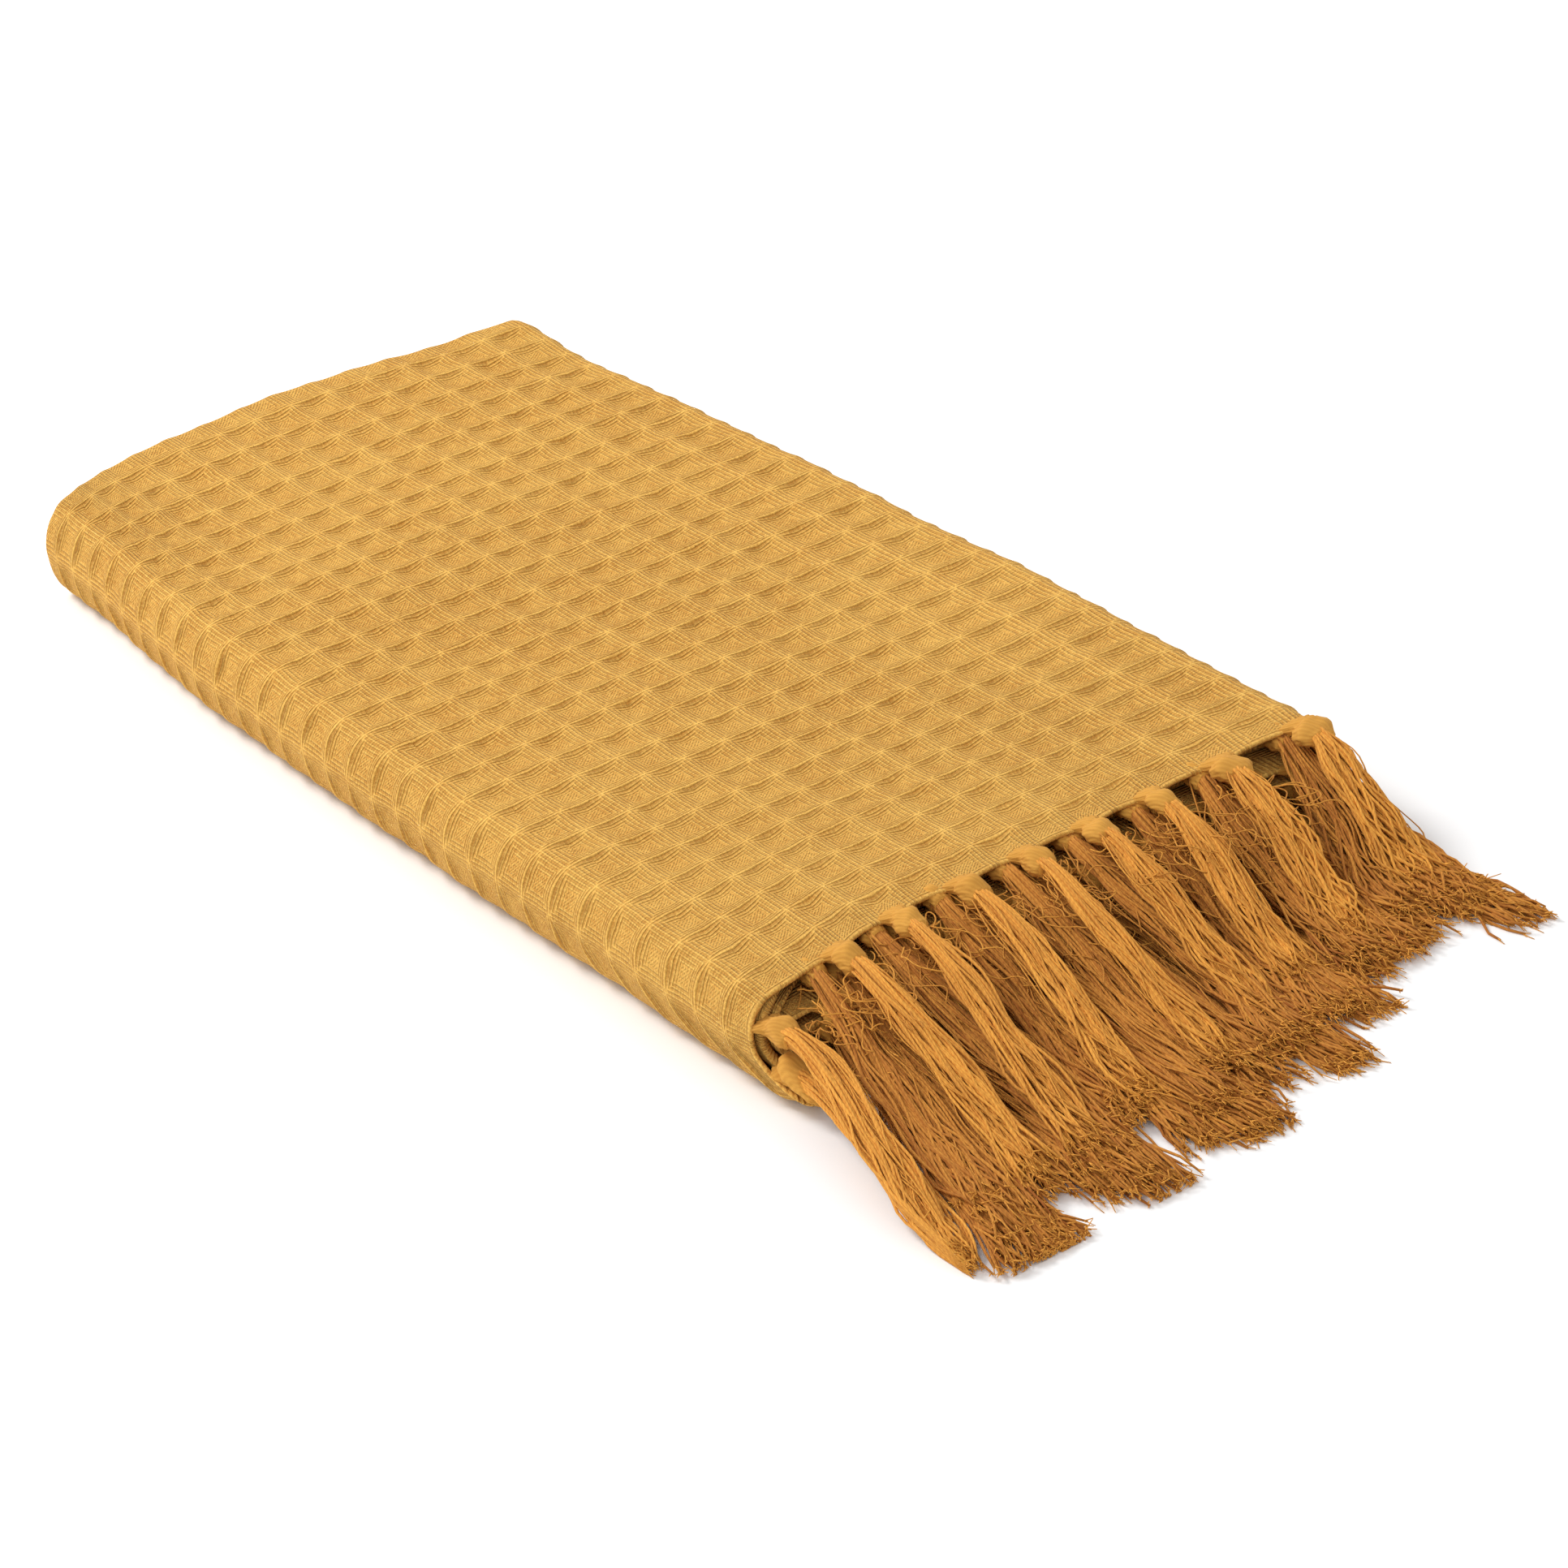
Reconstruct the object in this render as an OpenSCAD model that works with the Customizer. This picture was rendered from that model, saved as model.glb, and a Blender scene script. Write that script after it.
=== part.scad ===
// Folded throw blanket: one waffle-weave cotton cloth with a knotted fringe at both ends.
// The cloth is folded end to end, and then twice across its width, so it lies in eight plies.
//
// Frame: X runs along the folded throw, from the smooth end fold (-X) to the fringe (+X).
// Y runs across it, from the rounded spine (-Y) to the far side (+Y). Z is up.
// The origin is at the middle of the footprint, on the surface that the throw lies on.
//
// Plies are counted from the top: 1 to 4 make the upper leaf, and 5 to 8 the lower leaf.
// The upper leaf opens like a book cover, about the line that the outer ply follows at the spine.

/* [Folded cloth] */
// Length of the folded cloth, from the end fold to the hem, without the fringe
cloth_len = 634; // [300:1:1200]
// Width of the folded cloth, from the spine to the far side
cloth_w = 312; // [180:1:600]
// Thickness of one ply of waffle cloth, from ridge to ridge
ply_t = 5.8; // [3:0.1:10]
// Gap between plies of the same leaf
ply_gap = 0.2; // [0.1:0.05:1]
// Gap between the upper leaf and the lower leaf
leaf_gap = 0.3; // [0.3:0.05:2]
// How far each selvedge of the lower leaf stays inside the one below it
selvedge_step = 2; // [0:0.5:6]

/* [Fringe] */
// Length of the fringe, from the hem to the tip of the longest tassel
fringe_len = 155; // [60:1:200]
// Distance between two tassels of one ply
tassel_pitch = 36; // [24:0.5:50]
// Diameter of a knot
knot_d = 16; // [8:0.5:22]
// Length of the gathered yarns between the hem and a knot
neck_len = 3; // [1:0.5:10]
// How much further out every other ply has its knots
knot_stagger = 6; // [0:0.5:12]
// Width of a tassel where it leaves its knot
tassel_root_w = 10; // [6:0.5:14]
// Width of a tassel at its widest
tassel_w = 22; // [12:0.5:23]
// Thickness of one ply of tassels at the tips
tassel_tip_t = 2.4; // [1:0.1:4]
// How much shorter the tassels of the next ply up are
tip_step = 3; // [0:0.5:5]

/* [Hidden] */
PLIES = 8;
LEAF_PLIES = PLIES / 2;

$fn = 96;
ply_pitch = ply_t + ply_gap;
leaf_t = LEAF_PLIES * ply_t + (LEAF_PLIES - 1) * ply_gap;
stack_t = 2 * leaf_t + leaf_gap;

// Along X
x_fold = -(cloth_len + fringe_len) / 2;
x_hem = x_fold + cloth_len;
x_tip = x_hem + fringe_len;
fold_r = ply_t + ply_gap / 2;
x_flat = x_fold + fold_r;

// Across Y
y_spine = -cloth_w / 2;
y_spine_c = y_spine + stack_t / 2;
y_far = cloth_w / 2;
y_far_c = y_far - leaf_t / 2;
z_far_c = stack_t - leaf_t / 2;
z_mid = stack_t / 2;

// Past every solid, for the cutting boxes
reach = cloth_len + cloth_w + fringe_len;

// The tassels of one ply stand in a row, and leave a margin at each side
row_margin = tassel_w / 2 + 1;
row_first = y_spine_c + tassel_pitch / 2;
row_count = floor((y_far - row_margin - row_first) / tassel_pitch) + 1;
fan_x = 0.55;

cloth_colour = "goldenrod";
fringe_colour = "darkgoldenrod";

function is_upper(k) = k <= LEAF_PLIES;
// Height of the underside of ply k where it lies flat
function ply_z(k) = is_upper(k)
  ? stack_t - k * ply_pitch + ply_gap
  : (PLIES - k) * ply_pitch;
// Distance from the middle of the stack, counted inwards from the outermost ply
function nest(k) = is_upper(k) ? k : PLIES + 1 - k;
// The lower leaf ends in four cut edges, each a little inside the one below
function far_edge(k) = is_upper(k) ? y_far_c : y_far - (PLIES - k) * selvedge_step;

// Heights of a ply of tassels at the tips, where the pile is thinner than at the hem
tip_pitch = tassel_tip_t + ply_gap;
function tip_z(k) = (PLIES - k) * tip_pitch + (is_upper(k) ? leaf_gap : 0);
function knot_x(k) = x_hem + neck_len + knot_d / 2 + (k % 2) * knot_stagger;
function knot_end(k) = knot_x(k) + knot_d * 0.4;
function tassel_end(k) = x_tip - (PLIES - k) * tip_step;
function row_y(k, j) = row_first + (j + (k % 2) * 0.35) * tassel_pitch * row_fit(k);
// The staggered rows close up a little, so that their last tassel stays inside the far side
function row_fit(k) = min(1, (y_far - row_margin - row_first) / ((row_count - 1 + (k % 2) * 0.35) * tassel_pitch));
// The outer ply of each leaf carries one tassel more, where the cloth turns down the spine
corner_ply = 3;
function corner_y() = y_spine + row_margin;

// Half a ring of cloth, seen along X: outer radius ro, wall ply_t, where the cloth turns
module ring(ro) {
  difference() {
    circle(r = ro);
    circle(r = ro - ply_t);
  }
}

// One tassel's or knot's share of the pile: the wedge between its ply's two sloping planes
module fringe_band(k, y, w) {
  slack = 4;
  hem_lo = ply_z(k);
  hem_hi = ply_z(k) + ply_t;
  tip_lo = tip_z(k);
  tip_hi = tip_z(k) + tassel_tip_t;
  translate([0, y + w / 2, 0]) rotate([90, 0, 0]) linear_extrude(w)
    polygon([[x_hem - slack, hem_lo], [x_hem, hem_lo], [x_tip, tip_lo], [x_tip, tip_hi],
             [x_hem, hem_hi], [x_hem - slack, hem_hi]]);
}

module panel(k) {
  color(cloth_colour)
  translate([x_flat, y_spine_c, ply_z(k)])
    cube([x_hem - x_flat, far_edge(k) - y_spine_c, ply_t]);
}

// A quarter of the spine: the ply turns down from the top, or up from the bottom, to mid height
module spine(k) {
  color(cloth_colour)
  translate([x_flat, y_spine_c, z_mid]) rotate([90, 0, 90]) linear_extrude(x_hem - x_flat)
    intersection() {
      ring(stack_t / 2 - (nest(k) - 1) * ply_pitch);
      translate([-stack_t, is_upper(k) ? leaf_gap / 2 : -stack_t])
        square([stack_t, stack_t - leaf_gap / 2]);
    }
}

// The rounded edge that joins ply k to the one under it, along the flat and round the spine
module end_fold(k) {
  z_c = ply_z(k) - ply_gap / 2;
  turn_r = abs(z_c - z_mid);
  color(cloth_colour) {
    translate([x_flat, y_spine_c, z_c]) rotate([-90, 0, 0])
      linear_extrude(min(far_edge(k), far_edge(k + 1)) - y_spine_c)
        intersection() {
          ring(fold_r);
          translate([-fold_r, -fold_r]) square([fold_r, 2 * fold_r]);
        }
    difference() {
      translate([x_flat, y_spine_c, z_mid]) rotate([0, -90, 0]) rotate([0, 0, is_upper(k) ? 270 : 180])
        rotate_extrude(angle = 90)
          translate([turn_r, 0]) intersection() {
            ring(fold_r);
            translate([-fold_r, 0]) square([2 * fold_r, fold_r]);
          }
      translate([-reach / 2, y_spine - 1, z_mid - leaf_gap / 2])
        cube([reach, stack_t, leaf_gap]);
    }
  }
}

// The upper leaf's second fold, where its outer plies meet (plies 1 and 4, and inside it 2 and 3)
module far_fold(ro) {
  color(cloth_colour)
  translate([x_flat, y_far_c, z_far_c]) rotate([90, 0, 90]) linear_extrude(x_hem - x_flat)
    intersection() {
      ring(ro);
      translate([0, -ro]) square([ro, 2 * ro]);
    }
}

// The end fold carried round the second fold
module far_end_fold() {
  color(cloth_colour)
  translate([x_flat, y_far_c, z_far_c]) rotate([0, -90, 0])
    rotate_extrude(angle = 180)
      translate([leaf_t / 2 - ply_t - ply_gap / 2, 0]) intersection() {
        ring(fold_r);
        translate([-fold_r, 0]) square([2 * fold_r, fold_r]);
      }
}

// One knot, with the yarns gathered into it from the hem
module knot(k, y) {
  intersection() {
    union() {
      translate([knot_x(k), y, ply_z(k) + ply_t / 2]) sphere(d = knot_d);
      linear_extrude(stack_t) polygon([
        [x_hem, y - tassel_w / 2], [knot_x(k), y - knot_d / 4],
        [knot_x(k), y + knot_d / 4], [x_hem, y + tassel_w / 2]]);
    }
    fringe_band(k, y, tassel_w);
    translate([x_hem, y - tassel_w, 0]) cube([knot_end(k) - x_hem, 2 * tassel_w, stack_t]);
  }
}

// One tassel: narrow at its knot, fanned out towards the tip
module tassel(k, y) {
  x_from = knot_end(k);
  x_to = tassel_end(k);
  x_fan = x_from + fan_x * (x_to - x_from);
  intersection() {
    fringe_band(k, y, tassel_w);
    linear_extrude(stack_t) polygon([
      [x_from, y - tassel_root_w / 2], [x_fan, y - tassel_w / 2],
      [x_to, y - tassel_w * 0.42], [x_to, y + tassel_w * 0.42],
      [x_fan, y + tassel_w / 2], [x_from, y + tassel_root_w / 2]]);
  }
}

module knots(k) {
  color(fringe_colour) {
    for (j = [0:row_count - 1]) knot(k, row_y(k, j));
    if (nest(k) == corner_ply) knot(k, corner_y());
  }
}

module tassels(k) {
  color(fringe_colour) {
    for (j = [0:row_count - 1]) tassel(k, row_y(k, j));
    if (nest(k) == corner_ply) tassel(k, corner_y());
  }
}

for (k = [1:PLIES]) {
  panel(k);
  knots(k);
  tassels(k);
}
for (k = [1:LEAF_PLIES]) {
  spine(k);
  spine(PLIES + 1 - k);
}
for (k = [1:2:PLIES]) {
  end_fold(k);
}
far_fold(leaf_t / 2);  // far_fold_outer
far_fold(leaf_t / 2 - ply_pitch);  // far_fold_inner
far_end_fold();
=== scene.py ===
"""Folded waffle-weave throw with a knotted fringe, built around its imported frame.

The cloth follows one fold path, and each stretch of it is a closed strip of two plies that meet at the
smooth end. The fringe is swept yarn by yarn. Lengths are in millimetres until a mesh is made.
"""

import logging
import math
from dataclasses import dataclass, field
from enum import Enum
from typing import Iterable, Sequence

import bpy
import numpy as np
from mathutils import Matrix, Vector

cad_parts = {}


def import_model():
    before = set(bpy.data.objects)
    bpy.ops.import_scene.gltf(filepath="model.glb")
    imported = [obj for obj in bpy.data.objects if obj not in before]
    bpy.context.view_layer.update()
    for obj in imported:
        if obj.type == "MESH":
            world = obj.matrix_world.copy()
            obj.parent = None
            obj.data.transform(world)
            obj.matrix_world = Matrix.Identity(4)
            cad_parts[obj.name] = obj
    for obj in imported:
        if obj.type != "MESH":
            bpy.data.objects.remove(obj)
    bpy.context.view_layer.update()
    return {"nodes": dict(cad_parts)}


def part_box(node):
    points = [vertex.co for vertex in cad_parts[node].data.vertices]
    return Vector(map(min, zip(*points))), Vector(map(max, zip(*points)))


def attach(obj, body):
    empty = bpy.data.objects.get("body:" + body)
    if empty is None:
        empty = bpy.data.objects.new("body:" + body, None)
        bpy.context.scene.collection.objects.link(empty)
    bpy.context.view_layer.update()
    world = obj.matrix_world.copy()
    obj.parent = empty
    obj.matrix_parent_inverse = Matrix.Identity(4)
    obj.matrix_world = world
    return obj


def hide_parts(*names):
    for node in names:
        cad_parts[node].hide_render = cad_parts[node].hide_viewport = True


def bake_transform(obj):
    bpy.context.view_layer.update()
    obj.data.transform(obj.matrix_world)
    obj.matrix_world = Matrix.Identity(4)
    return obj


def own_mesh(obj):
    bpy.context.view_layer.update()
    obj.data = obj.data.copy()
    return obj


LOG = logging.getLogger("throw")
MM = 0.001
TAU = 2 * math.pi
PLIES = 8
LEAF_PLIES = 4
# The plies inside each pair of outer ones have their hem further back, so that the pile slopes to the floor
SHORT_PLIES = (2, 3, 6, 7)
HEM_OFFSET = 16.0
# From a hem to the root of its tassels, in millimetres
KNOT_REACH = 15.0


# ---------------------------------------------------------------- small maths


def linear(red: float, green: float, blue: float) -> tuple[float, float, float, float]:
    """Turns a display colour of 0 to 255 into the linear colour that a shader takes.

    Args:
        red: Red, from 0 to 255.
        green: Green, from 0 to 255.
        blue: Blue, from 0 to 255.

    Returns:
        Linear red, green and blue, and an alpha of 1.
    """
    parts = []
    for part in (red, green, blue):
        share = part / 255
        parts.append(share / 12.92 if share <= 0.04045 else ((share + 0.055) / 1.055) ** 2.4)
    return (parts[0], parts[1], parts[2], 1.0)


def smooth(value: np.ndarray | float, low: float = 0.0, high: float = 1.0) -> np.ndarray:
    """Rises smoothly from 0 to 1.

    Args:
        value: The values to turn into shares.
        low: Where the rise starts.
        high: Where it ends; it may lie below low.

    Returns:
        Shares of 0 to 1.
    """
    t = np.clip((np.asarray(value, float) - low) / (high - low), 0, 1)
    return t * t * (3 - 2 * t)


def ripple(x: np.ndarray, y: np.ndarray, wave: float, seed: int) -> np.ndarray:
    """Soft hills and hollows that never repeat over the throw.

    Args:
        x: Places along the throw, in millimetres.
        y: Places across it.
        wave: Rough distance from one hill to the next.
        seed: Chooses the pattern.

    Returns:
        Heights of about -1 to 1.
    """
    rng = np.random.default_rng(seed)
    total = np.zeros(np.broadcast(x, y).shape)
    waves = 6
    for _ in range(waves):
        angle, phase, stretch = rng.uniform(0, TAU), rng.uniform(0, TAU), rng.uniform(0.7, 1.5)
        run = x * math.cos(angle) + y * math.sin(angle)
        total = total + np.sin(TAU * run / (wave * stretch) + phase)
    return total / waves * 1.6


def box_mm(node: str) -> tuple[np.ndarray, np.ndarray]:
    """Reads the box of a node of the frame.

    Args:
        node: The node's name.

    Returns:
        Its lowest and its highest corner, in millimetres.
    """
    low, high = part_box(node)
    return np.array(low) / MM, np.array(high) / MM


# ---------------------------------------------------------------- shader graph


class Socket:
    """A shader value that takes part in arithmetic, one Math node for each operation."""

    def __init__(self, graph: "Graph", socket: bpy.types.NodeSocket) -> None:
        """Keeps the graph and the output socket that carries the value."""
        self.graph = graph
        self.socket = socket

    def _math(self, operation: str, *others: "Socket | float") -> "Socket":
        """Adds a Math node of this value and the others.

        Args:
            operation: The node's operation.
            others: What stands in its further inputs.

        Returns:
            The node's value.
        """
        sockets = dict(enumerate((self, *others)))
        return self.graph.out("ShaderNodeMath", {"operation": operation}, sockets)

    def _reflected(self, operation: str, other: float) -> "Socket":
        """Adds a Math node with the other value first."""
        return self.graph.out("ShaderNodeMath", {"operation": operation}, {0: other, 1: self})

    def __add__(self, other: "Socket | float") -> "Socket":
        """Adds."""
        return self._math("ADD", other)

    def __radd__(self, other: float) -> "Socket":
        """Adds to a number."""
        return self._reflected("ADD", other)

    def __sub__(self, other: "Socket | float") -> "Socket":
        """Subtracts."""
        return self._math("SUBTRACT", other)

    def __rsub__(self, other: float) -> "Socket":
        """Subtracts from a number."""
        return self._reflected("SUBTRACT", other)

    def __mul__(self, other: "Socket | float") -> "Socket":
        """Multiplies."""
        return self._math("MULTIPLY", other)

    def __rmul__(self, other: float) -> "Socket":
        """Multiplies a number."""
        return self._reflected("MULTIPLY", other)

    def abs(self) -> "Socket":
        """The value without its sign."""
        return self._math("ABSOLUTE")

    def fract(self) -> "Socket":
        """What is left after the whole number below."""
        return self._math("FRACT")

    def cos(self) -> "Socket":
        """The cosine."""
        return self._math("COSINE")

    def max(self, other: "Socket | float") -> "Socket":
        """The larger of two values."""
        return self._math("MAXIMUM", other)

    def clamp(self) -> "Socket":
        """The value kept from 0 to 1."""
        return self._math("MAXIMUM", 0.0)._math("MINIMUM", 1.0)

    def blend(self, low: "Socket", high: "Socket") -> "Socket":
        """Goes from low to high as this value goes from 0 to 1."""
        return self * (high - low) + low


class Graph:
    """The nodes of one material."""

    def __init__(self, name: str) -> None:
        """Starts an empty material.

        Args:
            name: The material's name.
        """
        self.material = bpy.data.materials.new(name)
        self.material.use_nodes = True
        self.tree = self.material.node_tree
        self.tree.nodes.clear()

    def node(self, kind: str, settings: dict | None = None, sockets: dict | None = None) -> bpy.types.Node:
        """Adds one node.

        Args:
            kind: The node's type.
            settings: Its properties, which are set first. "stops" is a ramp's list of places and colours.
            sockets: Values or links of its inputs, by name or by number.

        Returns:
            The new node.
        """
        made = self.tree.nodes.new(kind)
        for key, value in (settings or {}).items():
            if key == "stops":
                ramp = made.color_ramp
                for place, colour in value[1:-1]:
                    ramp.elements.new(place).color = colour
                ramp.elements[0].position, ramp.elements[0].color = value[0]
                ramp.elements[-1].position, ramp.elements[-1].color = value[-1]
            else:
                setattr(made, key, value)
        for key, value in (sockets or {}).items():
            if isinstance(value, Socket):
                self.tree.links.new(value.socket, made.inputs[key])
            else:
                made.inputs[key].default_value = value
        return made

    def out(self, kind: str, settings: dict | None = None, sockets: dict | None = None,
            output: str | int = 0) -> Socket:
        """Adds one node and gives one of its outputs.

        Args:
            kind: The node's type.
            settings: Its properties.
            sockets: Values or links of its inputs, by name or by number.
            output: The output's name or number.

        Returns:
            The output's value.
        """
        return Socket(self, self.node(kind, settings, sockets).outputs[output])

    def attribute(self, name: str) -> tuple[Socket, Socket, Socket]:
        """Reads the numbers that a mesh stores at its corners.

        Args:
            name: The name that they are stored under.

        Returns:
            The three numbers.
        """
        vector = self.out("ShaderNodeAttribute", {"attribute_name": name}, output="Vector")
        parts = self.node("ShaderNodeSeparateXYZ", sockets={0: vector})
        return Socket(self, parts.outputs[0]), Socket(self, parts.outputs[1]), Socket(self, parts.outputs[2])

    def noise(self, scale: float, detail: float = 2.0, roughness: float = 0.5) -> Socket:
        """Makes cloudy noise over the object.

        Args:
            scale: How many clouds there are to a metre.
            detail: How many finer layers are added.
            roughness: How strong the finer layers are.

        Returns:
            Values of 0 to 1.
        """
        place = self.out("ShaderNodeTexCoord", output="Object")
        sockets = {"Vector": place, "Scale": scale, "Detail": detail, "Roughness": roughness}
        return self.out("ShaderNodeTexNoise", {"noise_dimensions": "3D"}, sockets)

    def mix(self, share: Socket | float, first: Socket | tuple, second: Socket | tuple) -> Socket:
        """Mixes two colours.

        Args:
            share: How much of the second colour there is.
            first: The first colour.
            second: The second colour.

        Returns:
            The mixed colour.
        """
        settings = {"data_type": "RGBA", "blend_type": "MIX"}
        return self.out("ShaderNodeMix", settings, {0: share, 6: first, 7: second}, output=2)

    def finish(self, shader_sockets: dict) -> bpy.types.Material:
        """Ends the graph in a Principled shader.

        Args:
            shader_sockets: Values or links of the shader's inputs.

        Returns:
            The finished material.
        """
        shader = self.out("ShaderNodeBsdfPrincipled", None, shader_sockets)
        self.node("ShaderNodeOutputMaterial", None, {"Surface": shader})
        return self.material


# ---------------------------------------------------------------- finishes


@dataclass(frozen=True)
class WaffleCotton:
    """Piece-dyed waffle cotton: floats in nested squares, plain weave in the pits, ridges between them.

    The colours go from light to shadow: the deep colour paints shade in the grooves between yarns, the
    shadow colour paints the shadow of the curled edge just past each ridge, and the light colour also paints
    highlights on the ridge crests and corners. A cell runs from one ridge to the next, and each scale is the
    number of clouds to a metre.
    """

    name: str = "waffle_cotton"
    light: tuple = (252, 201, 104)
    body: tuple = (240, 184, 86)
    deep: tuple = (176, 108, 34)
    shadow: tuple = (138, 78, 24)
    yarns_per_cell: int = 11
    yarn_height: float = 0.9
    cloud_scale: float = 9
    wander_scale: float = 55
    patch_scale: float = 70
    fuzz_scale: float = 560

    def material(self) -> bpy.types.Material:
        """Makes the material, which reads each mesh's cell coordinates.

        Returns:
            The finished material.
        """
        graph = Graph(self.name)
        cell_x, cell_y, relief = graph.attribute("cells")
        cloud = graph.noise(self.cloud_scale, 3.0, 0.6)
        patch = graph.noise(self.patch_scale, 2.0, 0.6)
        wander = graph.noise(self.wander_scale, 1.0) * 0.07 - 0.035
        across_x = cell_x + wander
        across_y = cell_y - wander
        side_x = (across_x.fract() * 2 - 1).abs()
        side_y = (across_y.fract() * 2 - 1).abs()
        rim = side_x.max(side_y)
        turn = TAU * self.yarns_per_cell
        ends = (across_x * turn).cos()
        picks = (across_y * turn).cos()
        beside_x = ((side_x - side_y) * 7 + 0.5).clamp()
        floats = beside_x.blend(picks + ends * 0.28, ends + picks * 0.28)
        plain = ends * picks * 0.8 + (ends + picks) * 0.2
        pit = ((0.45 - rim) * 6 + (1 - relief) * 1.2).clamp()
        thread = pit.blend(floats, plain)
        corner = (1 - (side_x - side_y).abs() * 5).clamp() * ((rim - 0.55) * 3).clamp() * relief
        crest = ((side_x - 0.93) * 16).clamp().max(((side_y - 0.93) * 10).clamp() * 0.7) * relief
        calm = 1 - corner.max(crest) * 0.45
        fuzz = graph.noise(self.fuzz_scale, 3.0, 0.8)
        height = thread * calm * 0.6 + fuzz * 1.1
        bump = graph.node("ShaderNodeBump", None, {
            "Strength": 1.0, "Distance": self.yarn_height * MM, "Height": height})
        # Painted shadow: a thin dark crescent just past each ridge, where the curled edge of the floats
        # shades the pit; the relief has a real curled lip there too
        start = across_x.fract()
        curled = start - 0.06 - side_y * side_y * 0.05
        slit_shadow = (1 - (curled * 26).abs()).clamp() * ((0.75 - side_y) * 4).clamp()
        slit_shadow = slit_shadow * ((patch - 0.36) * 4).clamp() * (1 - fuzz * 0.8) * relief
        grain = ((fuzz - 0.41) * 6).clamp()
        # Painted shade: the grooves between yarns are darkened towards the deep colour, together with a
        # random grain
        groove_shade_and_grain = ((0.5 - thread * 0.5) * calm * 0.75 + (1 - grain) * 0.65).clamp()
        shade = graph.mix(groove_shade_and_grain, linear(*self.light), linear(*self.deep))
        # Painted highlight on the ridge crests and corners, with random cloudy tone on top, drawn towards the
        # light colour
        lift = (corner * 0.12 + crest * patch * 0.9 + (cloud - 0.5) + (patch - 0.5) * 1.2 + 0.22).clamp()
        body = graph.mix(0.35, shade, linear(*self.body))
        colour = graph.mix(lift * 0.6, body, linear(*self.light))
        # Paints the shadow of the curled edge in the shadow colour
        colour = graph.mix(slit_shadow * 0.72, colour, linear(*self.shadow))
        return graph.finish({
            "Base Color": colour,
            "Roughness": 0.82 + fuzz * 0.12,
            "Normal": Socket(graph, bump.outputs[0]),
            "Specular IOR Level": 0.2,
            "Sheen Weight": 0.08,
            "Sheen Roughness": 0.45,
            "Sheen Tint": linear(255, 226, 170),
        })


@dataclass(frozen=True)
class PliedYarn:
    """Loosely plied cotton yarn: strands that wind round each other, with painted shade in the grooves
    between them, and every yarn in a tone of its own, darkened by painted shade on hidden tassels and on the
    lower side of each bundle.

    The lay is the length in which a strand winds round the yarn once, in millimetres.
    """

    name: str = "plied_yarn"
    light: tuple = (253, 190, 86)
    body: tuple = (234, 154, 54)
    deep: tuple = (124, 44, 8)
    plies: int = 3
    lay: float = 3.4
    strand_height: float = 0.16
    fuzz_scale: float = 2600

    def material(self) -> bpy.types.Material:
        """Makes the material, which reads each yarn's length, turn and own number.

        Returns:
            The finished material.
        """
        graph = Graph(self.name)
        along, around, own = graph.attribute("strand")
        phase = along * (TAU / self.lay) + around * (TAU * self.plies)
        strand = phase.cos()
        fine = (along * (TAU / (self.lay * 0.45)) + around * (TAU * self.plies * 4)).cos()
        fuzz = graph.noise(self.fuzz_scale, 2.0, 0.7)
        height = strand * 0.35 + fine * 0.12 + fuzz * 0.3
        bump = graph.node("ShaderNodeBump", None, {
            "Strength": 0.8, "Distance": self.strand_height * MM, "Height": height})
        # Painted shade: the grooves between the plies are darkened towards the deep colour, together with
        # random fuzz
        groove_shade_and_grain = ((0.5 - strand * 0.5) * 0.26 + (0.5 - fine * 0.5) * 0.1 + (1 - fuzz) * 0.2).clamp()
        shade = graph.mix(groove_shade_and_grain, linear(*self.light), linear(*self.deep))
        body = graph.mix(0.4, shade, linear(*self.body))
        # Each yarn's own number draws it towards the deep colour: a random tone, and on tassels also painted
        # shade for hidden rows and the lower side of the bundle
        colour = graph.mix(own * 0.66, body, linear(*self.deep))
        return graph.finish({
            "Base Color": colour,
            "Roughness": 0.78 + fuzz * 0.15,
            "Normal": Socket(graph, bump.outputs[0]),
            "Specular IOR Level": 0.25,
            "Sheen Weight": 0.08,
            "Sheen Roughness": 0.4,
            "Sheen Tint": linear(255, 220, 160),
        })


# ---------------------------------------------------------------- meshes


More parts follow.
